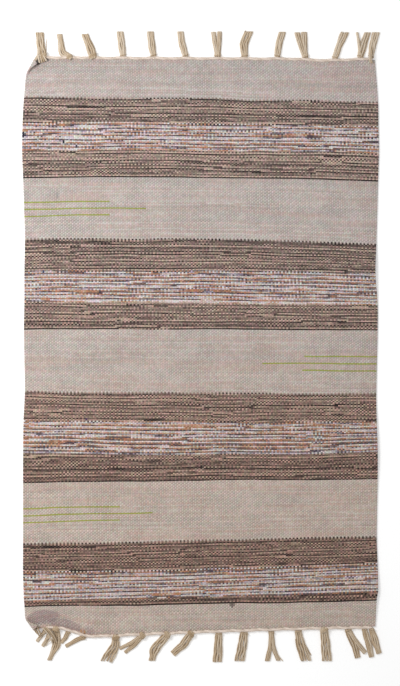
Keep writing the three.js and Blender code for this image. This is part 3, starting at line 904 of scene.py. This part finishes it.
def pick_at(y):
    """The pick whose middle lies nearest a Y of the rug, which is also the row that begins there."""
    return round((FAR_Y - y) / CLOTH_LENGTH * PICKS)


def warp_at(x):
    """The warp whose left edge is nearest an X of the rug."""
    left, right = WEAVE_LINES[4].left_x, WEAVE_LINES[4].right_x
    return round((x - left) / (right - left) * WARPS)


def stripes(nodes, found):
    """The colour of the weft by the kind of stripe, and where the cloth isn't pale. The dark and the mixed
    stripes lose light towards the near end."""
    weft_tone = weft_tone_group()

    def tone_of(wefts):
        at = {name: found[name] for name in ("Row", "Turn", "Warp")}
        return nodes.group(weft_tone, {**at, **wefts})["Tone"]

    here = zone_ramp(nodes, found["Row"])
    beside = zone_ramp(nodes, nodes.plus(found["Row"], found["Turn"]))
    after = zone_ramp(nodes, nodes.plus(found["Row"], 1.0))
    level = nodes.math("MAXIMUM", here, beside)
    inside = nodes.math("GREATER_THAN", nodes.math("MINIMUM", here, after), DARK_FROM)
    edge = nodes.times(nodes.minus(1.0, inside), EDGE_DARKNESS)
    pale = yarn_ramp(nodes, tone_of(PALE_WEFTS), PALE_YARNS)
    dark = yarn_ramp(nodes, nodes.minus(tone_of(DARK_WEFTS), edge), DARK_YARNS)
    mixed = yarn_ramp(nodes, nodes.modulo(tone_of(MIXED_WEFTS), 1.0), MIXED_YARNS)
    in_dark = nodes.math("GREATER_THAN", level, DARK_FROM)
    in_mixed = nodes.math("GREATER_THAN", level, MIXED_FROM)
    colour = nodes.mix(in_mixed, nodes.mix(in_dark, pale, dark), mixed)
    near_end = nodes.mix(in_mixed, (*DARK_KEPT, 1.0), (*MIXED_KEPT, 1.0))
    share = nodes.times(nodes.over(found["Pick"], float(PICKS)), in_dark)
    return nodes.multiplied(colour, nodes.mix(share, WHITE, near_end)), in_dark


def with_lime_lines(nodes, found, colour):
    inlay = inlay_group()
    for line in LIME_LINES:
        end = float(warp_at(line.end_x))
        start, stop = (0.0, end) if line.side == "left" else (end, float(WARPS))
        inputs = {"Row": found["Row"], "Warp": found["Warp"], "Line Row": float(pick_at(line.y)),
                  "From Warp": start, "To Warp": stop}
        colour = nodes.mix(nodes.group(inlay, inputs)["Mask"], colour, linear(LIME))
    return colour


def with_spots(nodes, found, cloth, colour):
    """Patches with soft outlines, some of them painted shade, and specks that take up whole floats."""
    speck = speck_group()
    whole = nodes.vector(nodes.over(found["Warp"], float(WARPS)), nodes.over(found["Pick"], float(PICKS)))
    smooth = nodes.vector_math("DIVIDE", cloth, (WARPS, PICKS, 1))

    def mask_of(spot, place, full_to, none_from):
        inputs = {"Place": place, "Centre": (warp_at(spot.x) / WARPS, pick_at(spot.y) / PICKS, 0),
                  "Size": (spot.width / CLOTH_WIDTH, spot.height / CLOTH_LENGTH, 1),
                  "Full To": full_to, "None From": none_from}
        return nodes.group(speck, inputs)["Mask"]

    for spot in PATCHES:
        mask = mask_of(spot, smooth, *PATCH_EDGE)
        left = [nodes.minus(1.0, nodes.times(mask, spot.dull * share)) for share in spot.tint]
        colour = nodes.multiplied(colour, nodes.vector(*left))
    for spot in SPECKS:
        colour = nodes.mix(mask_of(spot, whole, *SPECK_EDGE), colour, linear(spot.colour))
    return colour


def heathered(nodes, found, in_dark, colour):
    """Each float's hue strays a little, red against green, and blue by itself."""
    amount = nodes.between(in_dark, 0.0, 1.0, PALE_HEATHER, DARK_HEATHER)
    red, blue = [nodes.centred(nodes.chance(nodes.vector(found["Pick"], found["Warp"], seed)), amount)
                 for seed in (7.5, 8.5)]
    strayed = nodes.vector(nodes.plus(1.0, red), nodes.minus(1.0, red), nodes.plus(1.0, blue))
    return nodes.multiplied(colour, strayed)


def float_tone_and_painted_shade(nodes, found):
    """Each float's own brightness, which differs at random, and painted shade where it dives under, which is
    deeper in some patches.
    """
    own = nodes.chance(nodes.vector(found["Pick"], found["Warp"], 5.5))
    light = nodes.between(own, 0.0, 1.0, *FLOAT_LIGHT)
    patch = nodes.vector(nodes.over(found["Warp"], 9.0), nodes.over(found["Pick"], 14.0), 2.5)
    depth = nodes.between(nodes.noise(patch, 1.0, 2.0), 0.4, 0.6, *PAINTED_DIVE_SHADE)
    diving = nodes.between(found["Crown"], 0.0, 0.55, 1.0, 0.0)
    return nodes.times(light, nodes.minus(1.0, nodes.times(diving, depth)))


def woven_cloth_material():
    material, nodes, shader = new_material("woven cloth")
    cloth = nodes.add("ShaderNodeUVMap", uv_map="cloth").outputs[0]
    found = nodes.group(woven_floats_group(), {"Cloth": cloth, "Wander": WANDER})
    colour, in_dark = stripes(nodes, found)
    colour = with_lime_lines(nodes, found, colour)
    colour = with_spots(nodes, found, cloth, colour)
    tints = [(tint.share, (tint.red, tint.green, tint.blue, 1)) for tint in TINTS]
    colour = nodes.multiplied(colour, nodes.ramp(nodes.over(found["Pick"], float(PICKS)), tints))
    colour = heathered(nodes, found, in_dark, colour)
    # Each float's random brightness, and painted shade where it dives under a warp.
    colour = nodes.shaded(colour, float_tone_and_painted_shade(nodes, found))
    height = nodes.plus(found["Crown"], nodes.times(found["Strand"], STRAND_HEIGHT))
    finish_yarn(nodes, shader, colour, cloth, height, CLOTH_SURFACE)
    return material


# Headings and fringes

def beyond_end(end, across, out):
    """Places beyond an end of the cloth, out from its rim, at the level of its lower face."""
    across = np.asarray(across, float)
    down = np.full(across.shape, 0.0 if end == "far" else CLOTH_LENGTH)
    nudge = 0.001
    here = cloth_place(across, down)
    along = cloth_place(across + nudge, down) - cloth_place(across - nudge, down)
    outward = unit(np.stack([-along[..., 1], along[..., 0], np.zeros(across.shape)], axis=-1))
    if end == "near":
        outward = -outward
    lean = np.abs(np.sum(cloth_normal(across, down) * outward, axis=-1)) * THICKNESS / 2
    here = here + outward * (lean + out)[..., None]
    here[..., 2] -= THICKNESS / 2
    return here


Strand = namedtuple("Strand", "places radius tone")


def strands_piece(name, strands):
    """A mesh of edges, one run of them for each strand, with the thickness and tone of each."""
    edges = []
    start = 0
    for strand in strands:
        count = len(strand.places)
        edges += [(start + i, start + i + 1) for i in range(count - 1)]
        start += count
    mesh = bpy.data.meshes.new(name)
    mesh.from_pydata((np.concatenate([strand.places for strand in strands]) * MM).tolist(), edges, [])
    own_values = {
        "thickness": [np.broadcast_to(strand.radius, len(strand.places)) * MM for strand in strands],
        "tone": [np.full(len(strand.places), strand.tone) for strand in strands],
        "strand": [np.full(len(strand.places), i) for i, strand in enumerate(strands)],
    }
    for label, values in own_values.items():
        attribute = mesh.attributes.new(label, "FLOAT", "POINT")
        attribute.data.foreach_set("value", np.concatenate(values).astype(np.float32))
    return placed(name, mesh)


def stored(nodes, geometry, name, value, kind="FLOAT"):
    inputs = {"Geometry": geometry, "Name": name, "Value": value}
    node = nodes.add("GeometryNodeStoreNamedAttribute", inputs, data_type=kind, domain="POINT")
    return node.outputs["Geometry"]


def round_profile(nodes, sides, radius):
    """A circle to sweep, whose points keep their direction from its centre as around."""
    circle = nodes.add("GeometryNodeCurvePrimitiveCircle", {"Resolution": sides, "Radius": radius})
    place = nodes.add("GeometryNodeInputPosition").outputs[0]
    return stored(nodes, circle.outputs["Curve"], "around", place, "FLOAT_VECTOR")


def swept_yarn(nodes, curve, profile, scale, material):
    """The profile swept along the curve, closed at its ends, smooth, with its material."""
    inputs = {"Curve": curve, "Profile Curve": profile, "Scale": scale, "Fill Caps": True}
    swept = nodes.add("GeometryNodeCurveToMesh", inputs).outputs["Mesh"]
    smooth = nodes.add("GeometryNodeSetShadeSmooth", {"Geometry": swept, "Shade Smooth": True})
    whole = {"Geometry": smooth.outputs["Geometry"]}
    real = nodes.add("GeometryNodeRealizeInstances", whole).outputs["Geometry"]
    return nodes.add("GeometryNodeSetMaterial", {"Geometry": real, "Material": material}).outputs["Geometry"]


def path_curve(nodes, geometry):
    """The edges as curves, whose points keep their distance along as along, and that distance."""
    curve = nodes.add("GeometryNodeMeshToCurve", {"Mesh": geometry}).outputs["Curve"]
    length = nodes.add("GeometryNodeSplineParameter").outputs["Length"]
    return stored(nodes, curve, "along", length), length


def thickness_of(nodes):
    """The thickness that strands_piece gave each point."""
    node = nodes.add("GeometryNodeInputNamedAttribute", {"Name": "thickness"}, data_type="FLOAT")
    return usable(node.outputs, "Attribute")


def yarns_tree():
    """Sweeps a round yarn of its own thickness along each strand."""
    nodes, given, result = node_tree(
        "round yarns", "GeometryNodeTree",
        {"Geometry": (GEOMETRY, None), "Sides": (INTEGER, 6), "Material": (MATERIAL, None)},
        {"Geometry": GEOMETRY})
    curve, _ = path_curve(nodes, given["Geometry"])
    profile = round_profile(nodes, given["Sides"], 1.0)
    swept = swept_yarn(nodes, curve, profile, thickness_of(nodes), given["Material"])
    nodes.feed(result.inputs[0], swept)
    return nodes.tree


def cord_tree():
    """Sweeps two strands along a path and twists them round each other."""
    nodes, given, result = node_tree(
        "twisted cord", "GeometryNodeTree",
        {"Geometry": (GEOMETRY, None), "Sides": (INTEGER, 8), "Strand Radius": (FLOAT, 0.001),
         "Strand Offset": (FLOAT, 0.001), "Turn Length": (FLOAT, 0.008), "Material": (MATERIAL, None)},
        {"Geometry": GEOMETRY})
    curve, length = path_curve(nodes, given["Geometry"])
    angle = nodes.times(nodes.over(length, given["Turn Length"]), 2 * math.pi)
    curve = nodes.add("GeometryNodeSetCurveTilt", {"Curve": curve, "Tilt": angle}).outputs["Curve"]
    both = nodes.add("GeometryNodeJoinGeometry")
    for side in (-1.0, 1.0):
        circle = round_profile(nodes, given["Sides"], given["Strand Radius"])
        offset = nodes.vector(nodes.times(given["Strand Offset"], side), 0.0)
        moved = nodes.add("GeometryNodeTransform", {"Geometry": circle, "Translation": offset})
        nodes.feed(both.inputs[0], stored(nodes, moved.outputs["Geometry"], "ply", (side + 1) / 2))
    scale = nodes.over(thickness_of(nodes), MM)
    swept = swept_yarn(nodes, curve, both.outputs[0], scale, given["Material"])
    nodes.feed(result.inputs[0], swept)
    return nodes.tree


def shaped(piece, tree, inputs):
    """Runs a tree on a piece and keeps what it makes as the piece's own mesh."""
    modifier = piece.modifiers.new("shape", "NODES")
    modifier.node_group = tree
    for item in tree.interface.items_tree:
        if item.in_out == "INPUT" and item.name in inputs:
            modifier[item.identifier] = inputs[item.name]
    depsgraph = bpy.context.evaluated_depsgraph_get()
    made = piece.evaluated_get(depsgraph)
    mesh = bpy.data.meshes.new_from_object(made, preserve_all_data_layers=True, depsgraph=depsgraph)
    piece.modifiers.remove(modifier)
    mesh.name = piece.name
    piece.data = mesh


def point_values(mesh, name, width=1):
    attribute = mesh.attributes[name]
    values = np.empty(len(mesh.vertices) * width)
    attribute.data.foreach_get("vector" if width == 3 else "value", values)
    return values.reshape(-1, width) if width > 1 else values


def add_strip_map(mesh, columns, length):
    """Lays each swept yarn out as a strip of a sheet, its length across and its way round up."""
    strand = point_values(mesh, "strand")
    if "ply" in mesh.attributes:
        strand = strand * 2 + point_values(mesh, "ply")
    rows = math.ceil((strand.max() + 1) / columns)
    around = point_values(mesh, "around", 3)
    angle = corner_values(mesh, np.arctan2(around[:, 1], around[:, 0]) / (2 * math.pi) % 1)
    along = corner_values(mesh, point_values(mesh, "along")) / MM / length
    strip = np.round(corner_values(mesh, strand))
    sizes = np.empty(len(mesh.polygons), np.int64)
    mesh.polygons.foreach_get("loop_total", sizes)
    starts = np.concatenate([[0], np.cumsum(sizes)[:-1]])
    # A face that spans the end of a turn has its low angles carried past 1.
    high = np.repeat(np.maximum.reduceat(angle, starts), sizes)
    angle = np.where((high > 0.6) & (angle < 0.35), angle + 1, angle)
    # The faces that close a yarn's ends have more than four corners, and are laid as small rounds.
    is_cap = np.repeat(sizes > 4, sizes)
    ring = angle * 2 * math.pi
    across = np.where(is_cap, np.clip(along, 0.02, 0.95) + 0.01 * np.cos(ring), np.clip(along, 0, 0.97))
    up = np.where(is_cap, 0.5 + 0.4 * np.sin(ring), np.clip(angle, 0, 1))
    # Each strip has its own cell of the sheet, with a small margin inside it.
    left = np.floor(strip / rows)
    bottom = strip % rows
    places = np.stack([(left + 0.02 + 0.96 * across) / columns, (bottom + 0.1 + 0.8 * up) / rows], axis=-1)
    add_map(mesh, "OFBake", places)


def heading_piece(end, tree, material):
    """The twined cord along an end of the cloth. It thins out at both of its own ends."""
    heading = HEADINGS[end]
    count = round((heading.stop - heading.start) * FAR_WIDTH / CORD_STEP)
    places = beyond_end(end, np.linspace(heading.start, heading.stop, count), CORD_OUT)
    places[:, 2] += CORD_HIGH
    to_end = np.minimum(np.arange(count), np.arange(count)[::-1]) * CORD_STEP
    taper = np.clip(CORD_END_SHARE + to_end / CORD_TAPER, 0, 1)
    piece = strands_piece("heading_cord_" + end, [Strand(places, taper, 0.5)])
    shaped(piece, tree, {"Sides": 8, "Material": material, "Strand Radius": STRAND_RADIUS * MM,
                         "Strand Offset": (THICK_CORD_RADIUS - STRAND_RADIUS) * MM,
                         "Turn Length": CORD_TURN * MM})
    add_strip_map(piece.data, 1, count * CORD_STEP * STRIP_SLACK)
    return piece


def along_path(places, step):
    """Even steps along a path through places, and how far along each place and each step is."""
    gaps = np.linalg.norm(np.diff(places[:, :2], axis=0), axis=1)
    stations = np.concatenate([[0], np.cumsum(gaps)])
    steps = np.linspace(0, stations[-1], max(round(stations[-1] / step), 2) + 1)
    return stations, steps


def smooth_path(places, stations, steps):
    return np.stack([smooth_through(stations, places[:, i], steps) for i in range(3)], axis=-1)


# A station is a cross-section of a bundle of yarns: the middle of its lower side, how wide and how high it
# is, and how far it is lifted.
Station = namedtuple("Station", "place width height lift")


class Bundle:
    """The run of a tassel's yarns from the back of its knot to its tip: where its middle lies, which way is
    sideways, and how wide and high it is at each step."""

    def __init__(self, end, tassel):
        level = np.array([1, 1, 0])
        across = across_at(end, tassel.x)
        self.knot = OVER_CORD if tassel.x in OVER_CORD_AT[end] else UNDER_CORD
        rim, back = beyond_end(end, np.array([across, across]), np.array([0, self.knot.back]))
        bend = np.array([tassel.bend_x, tassel.bend_y, 0])
        tip = np.array([tassel.tip_x, tassel.tip_y, 0])
        self.back = back
        self.leaving = unit((bend - back) * level)
        rise = self.knot.rise
        run = [
            Station(back - unit((back - rim) * level) * 0.6, tassel.knot * 0.75, 4.5, rise + 0.5),
            Station(back + self.leaving * KNOT_LENGTH * 0.45, tassel.knot - 2, 5.5, rise * 0.8 + 0.8),
            Station(back * level + self.leaving * KNOT_LENGTH, min(tassel.waist, tassel.knot),
                    SLACK_HEIGHT, rise * 0.3),
            Station(bend, tassel.waist, YARN_HEIGHT, 0.0),
            Station(bend + (tip - bend) * 0.6, tassel.end, SLACK_HEIGHT, 0.0),
            Station(tip, tassel.end, TIP_HEIGHT, 0.0),
        ]
        middle = np.array([station.place for station in run])
        middle[:, 2] += [station.lift for station in run]
        stations, self.steps = along_path(middle, YARN_STEP)
        self.middle = smooth_path(middle, stations, self.steps)
        self.width = smooth_through(stations, [station.width for station in run], self.steps)
        self.height = smooth_through(stations, [station.height for station in run], self.steps)
        heading = unit(np.gradient(self.middle[:, :2], axis=0))
        self.side = np.stack([heading[:, 1], -heading[:, 0], np.zeros(len(heading))], axis=-1)


def laid_yarn(end, tassel, from_x, lane):
    """The part of a warp yarn that runs from the weave under the cord to its tassel."""
    toward = math.copysign(1, tassel.x - from_x)
    first = from_x + toward * LAID_BEND
    count = max(round(abs(tassel.x - first) / LAID_STEP), 1)
    xs = np.concatenate([[from_x], np.linspace(first, tassel.x - toward * LAID_STOP, count + 1)])
    outs = np.full(len(xs), lane)
    outs[0] = LAID_FROM
    outs[-1] = UNDER_CORD.back
    heading = HEADINGS[end]
    places = beyond_end(end, np.clip(across_at(end, xs), heading.start, heading.stop), outs)
    places[:, 2] += LAID_RADIUS + LAID_GAP
    places[0, 2] += LAID_RISE
    return places


def tassel_yarns(end, tassel, reach, random, slim):
    """The yarns of one tassel. Reach is how far to its left and right its warps come out of the weave."""
    bundle = Bundle(end, tassel)
    layers = HALF_LAYERS if slim else YARN_LAYERS
    thick = SLIM_YARN_RADIUS if slim else YARN_RADIUS
    slots = sorted(((side, up) for up, sides in layers for side in sides), key=lambda slot: slot[0])
    strands = []
    for rank, (side, up) in enumerate(slots):
        share = (rank + 0.5) / len(slots) * 2 - 1
        from_x = tassel.x + share * (reach[1] if share > 0 else reach[0])
        laid = laid_yarn(end, tassel, from_x, FIRST_LANE + LANES_WIDTH * (1 - abs(share)))
        phase, pace = random.uniform(0, 2 * math.pi), random.uniform(*YARN_PACE)
        # The upper yarns and the lower one at one side get lit tones, the other lower ones shaded tones:
        # painted light and shade.
        tone = random.uniform(*(PAINTED_LIT_TONES if up > 0 or side == -1 else PAINTED_SHADED_TONES))
        tone -= NEAR_SHADE if end == "near" else 0
        turn = bundle.steps / pace * 2 * math.pi
        sway = YARN_SWAY * np.sin(turn + phase)
        lift = YARN_LIFT * np.cos(turn + phase * 1.7)
        spread = np.clip(side + sway, -1, 1) * (bundle.width / 2 - thick)
        high = np.clip(up + lift, 0, 1) * np.maximum(bundle.height - 2 * thick, 0)
        places = bundle.middle + bundle.side * spread[:, None]
        places[:, 2] += thick + high
        if abs(tassel.tip_y) > CUT_FROM:
            ahead = places[-1] - places[-2]
            places[-1] += ahead * (tassel.tip_y - places[-1, 1]) / ahead[1]
        radius = np.concatenate([np.full(len(laid), LAID_RADIUS), np.full(len(places), thick)])
        radius[-1] *= YARN_TIP_SHARE
        strands.append(Strand(np.concatenate([laid, places]), radius, tone))
    return strands, bundle


def knot_wrap(bundle, tassel, random):
    """The yarn wound round a tassel: a coil that slants, and is slimmer at both ends."""
    knot = bundle.knot
    turn = np.linspace(0, 1, round(WRAP_POINTS * knot.turns) + 1)
    angle = -math.pi / 2 + turn * knot.turns * 2 * math.pi
    slim = WRAP_END_SHARE + (1 - WRAP_END_SHARE) * np.sin(np.pi * turn)
    half_width = (tassel.knot * 0.5 - knot.radius * 0.6) * slim
    half_height = (KNOT_HEIGHT / 2 - knot.radius) * slim
    side = np.array([bundle.leaving[1], -bundle.leaving[0], 0])
    slant = random.uniform(0.7, 1.3) * knot.slant * random.choice([-1, 1])
    ahead = WRAP_FROM + turn * knot.wound + slant * np.cos(angle)
    places = bundle.back + bundle.leaving * ahead[:, None] + side * (half_width * np.cos(angle))[:, None]
    places[:, 2] = bundle.back[2] + knot.rise * 0.6 + KNOT_HEIGHT / 2 + half_height * np.sin(angle)
    # Its low tone is partly the wrap's own colour and partly painted shade at the tassel's root.
    return Strand(places, knot.radius, random.uniform(*WRAP_TONES))


def fringe_piece(end, tree, material, seed):
    """All the warp ends beyond one end of the cloth: the tassels, the yarns round their knots and the loose
    yarns."""
    random = np.random.default_rng(seed)
    tassels = TASSELS[end]
    xs = [tassel.x for tassel in tassels]
    heading = HEADINGS[end]
    knots = sorted(set(xs))
    low, high = x_at(end, heading.start), x_at(end, heading.stop)
    strands = []
    knotted = set()
    for tassel in tassels:
        i = knots.index(tassel.x)
        last = i == len(knots) - 1
        left = tassel.x - (knots[i - 1] + tassel.x) / 2 if i > 0 else max(tassel.x - low, LEAST_REACH)
        right = max(high - tassel.x, LEAST_REACH) if last else (knots[i + 1] + tassel.x) / 2 - tassel.x
        slim = xs.count(tassel.x) > 1 or tassel.waist < SLIM_UNDER
        yarns, bundle = tassel_yarns(end, tassel, (left, right), random, slim)
        strands += yarns
        if tassel.x not in knotted:
            strands.append(knot_wrap(bundle, tassel, random))
            knotted.add(tassel.x)
    for loose in LOOSE_YARNS:
        if loose.end == end:
            places = np.asarray(loose.places, float)
            path = smooth_path(places, *along_path(places, YARN_STEP))
            strands.append(Strand(path, loose.radius, random.uniform(0, 1)))
    piece = strands_piece("fringe_yarns_" + end, strands)
    shaped(piece, tree, {"Sides": 6, "Material": material})
    add_strip_map(piece.data, 2, LONGEST_YARN)
    return piece


def plied_material(name, scale, tone_from, turns_per_metre, painted_valley_light, surface):
    """Hand-spun yarn of two plies: a scale of colours, valleys between the plies that are bumped and darkened
    with painted shade, and fibres.
    """
    material, nodes, shader = new_material(name)

    def attribute(label, output):
        return nodes.add("ShaderNodeAttribute", attribute_name=label).outputs[output]

    around = attribute("around", "Vector")
    x, y, _ = nodes.parts(around)
    along = attribute("along", "Fac")
    tone = attribute(tone_from, "Fac")
    length = nodes.vector(0.0, 0.0, nodes.times(along, FIBRE_RUN))
    place = nodes.vector_math("ADD", nodes.vector_math("NORMALIZE", around), length)
    shade = nodes.noise(nodes.vector(nodes.times(along, SHADES_PER_METRE), nodes.times(tone, 37.0)), 1.0)
    colour = yarn_ramp(nodes, nodes.plus(tone, nodes.centred(shade, SHADES_DIFFER)), scale)
    turning = nodes.times(along, 2 * math.pi * turns_per_metre)
    ply = nodes.math("ABSOLUTE", nodes.math("SINE", nodes.plus(nodes.math("ARCTAN2", y, x), turning)))
    # Painted shade in the valleys between the plies.
    colour = nodes.shaded(colour, nodes.between(ply, 0.0, 0.5, painted_valley_light, 1.0))
    finish_yarn(nodes, shader, colour, place, ply, surface)
    return material


# Floor, light and camera

VIEW_HEIGHT = 1.5524  # how much of the floor the picture takes in, from its top to its bottom
VIEW_CENTRE = Vector((-3.2 * MM, 7.4 * MM, 0))
CAMERA_HEIGHT = 4.2
SENSOR = 36.0
WINDOW_PLACE = Vector((-1.45, 0.55, 1.7))
WINDOW_SIZE = 0.9
WINDOW_POWER = 32
ROOM_LIGHT = 0.6
FLOOR_REACH = 12
FLOOR_GREY = 0.93
FLOOR_GLOW = 0.2


def set_camera():
    data = bpy.data.cameras.new("camera")
    data.sensor_width = SENSOR
    data.lens = SENSOR * CAMERA_HEIGHT / VIEW_HEIGHT
    camera = placed("camera", data)
    camera.location = VIEW_CENTRE + Vector((0, 0, CAMERA_HEIGHT))
    bpy.context.scene.camera = camera


def set_light():
    """A pale room, and a window to the upper left that shines on the middle of the rug."""
    world = bpy.data.worlds.new("pale room")
    world.use_nodes = True
    background = world.node_tree.nodes["Background"]
    background.inputs["Color"].default_value = WHITE
    background.inputs["Strength"].default_value = ROOM_LIGHT
    bpy.context.scene.world = world
    data = bpy.data.lights.new("window", "AREA")
    data.shape = "DISK"
    data.size = WINDOW_SIZE
    data.energy = WINDOW_POWER
    window = placed("window", data)
    window.location = WINDOW_PLACE
    window.rotation_euler = (-WINDOW_PLACE).to_track_quat("-Z", "Y").to_euler()
    bpy.context.scene.view_settings.view_transform = "Standard"


def floor_piece():
    mesh = bpy.data.meshes.new("floor")
    corners = [(-1, -1), (1, -1), (1, 1), (-1, 1)]
    places = [(x * FLOOR_REACH, y * FLOOR_REACH, FLOOR_LEVEL) for x, y in corners]
    mesh.from_pydata(places, [], [(0, 1, 2, 3)])
    material, _, shader = new_material("white floor")
    shader.inputs["Base Color"].default_value = (FLOOR_GREY, FLOOR_GREY, FLOOR_GREY, 1)
    shader.inputs["Emission Color"].default_value = WHITE
    shader.inputs["Emission Strength"].default_value = FLOOR_GLOW
    mesh.materials.append(material)
    placed("floor", mesh)


cloth = cloth_piece()
cloth.data.materials.append(woven_cloth_material())
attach(cloth, "root")
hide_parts("rug_body")

cord_material = plied_material("heading cord", CORD_SCALE, "ply", 60, 0.96, CORD_SURFACE)
yarn_material = plied_material("warp yarn", YARN_SCALE, "tone", 90, 0.88, YARN_SURFACE)
cord_shape = cord_tree()
yarn_shape = yarns_tree()
for i, end in enumerate(("far", "near")):
    heading = heading_piece(end, cord_shape, cord_material)
    fringe = fringe_piece(end, yarn_shape, yarn_material, 41 + i)
    for piece, node, slot in [(heading, "heading_", "heading_cord"), (fringe, "fringe_", "warp_yarn")]:
        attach(piece, "root")
        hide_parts(node + end)

floor_piece()
set_light()
set_camera()
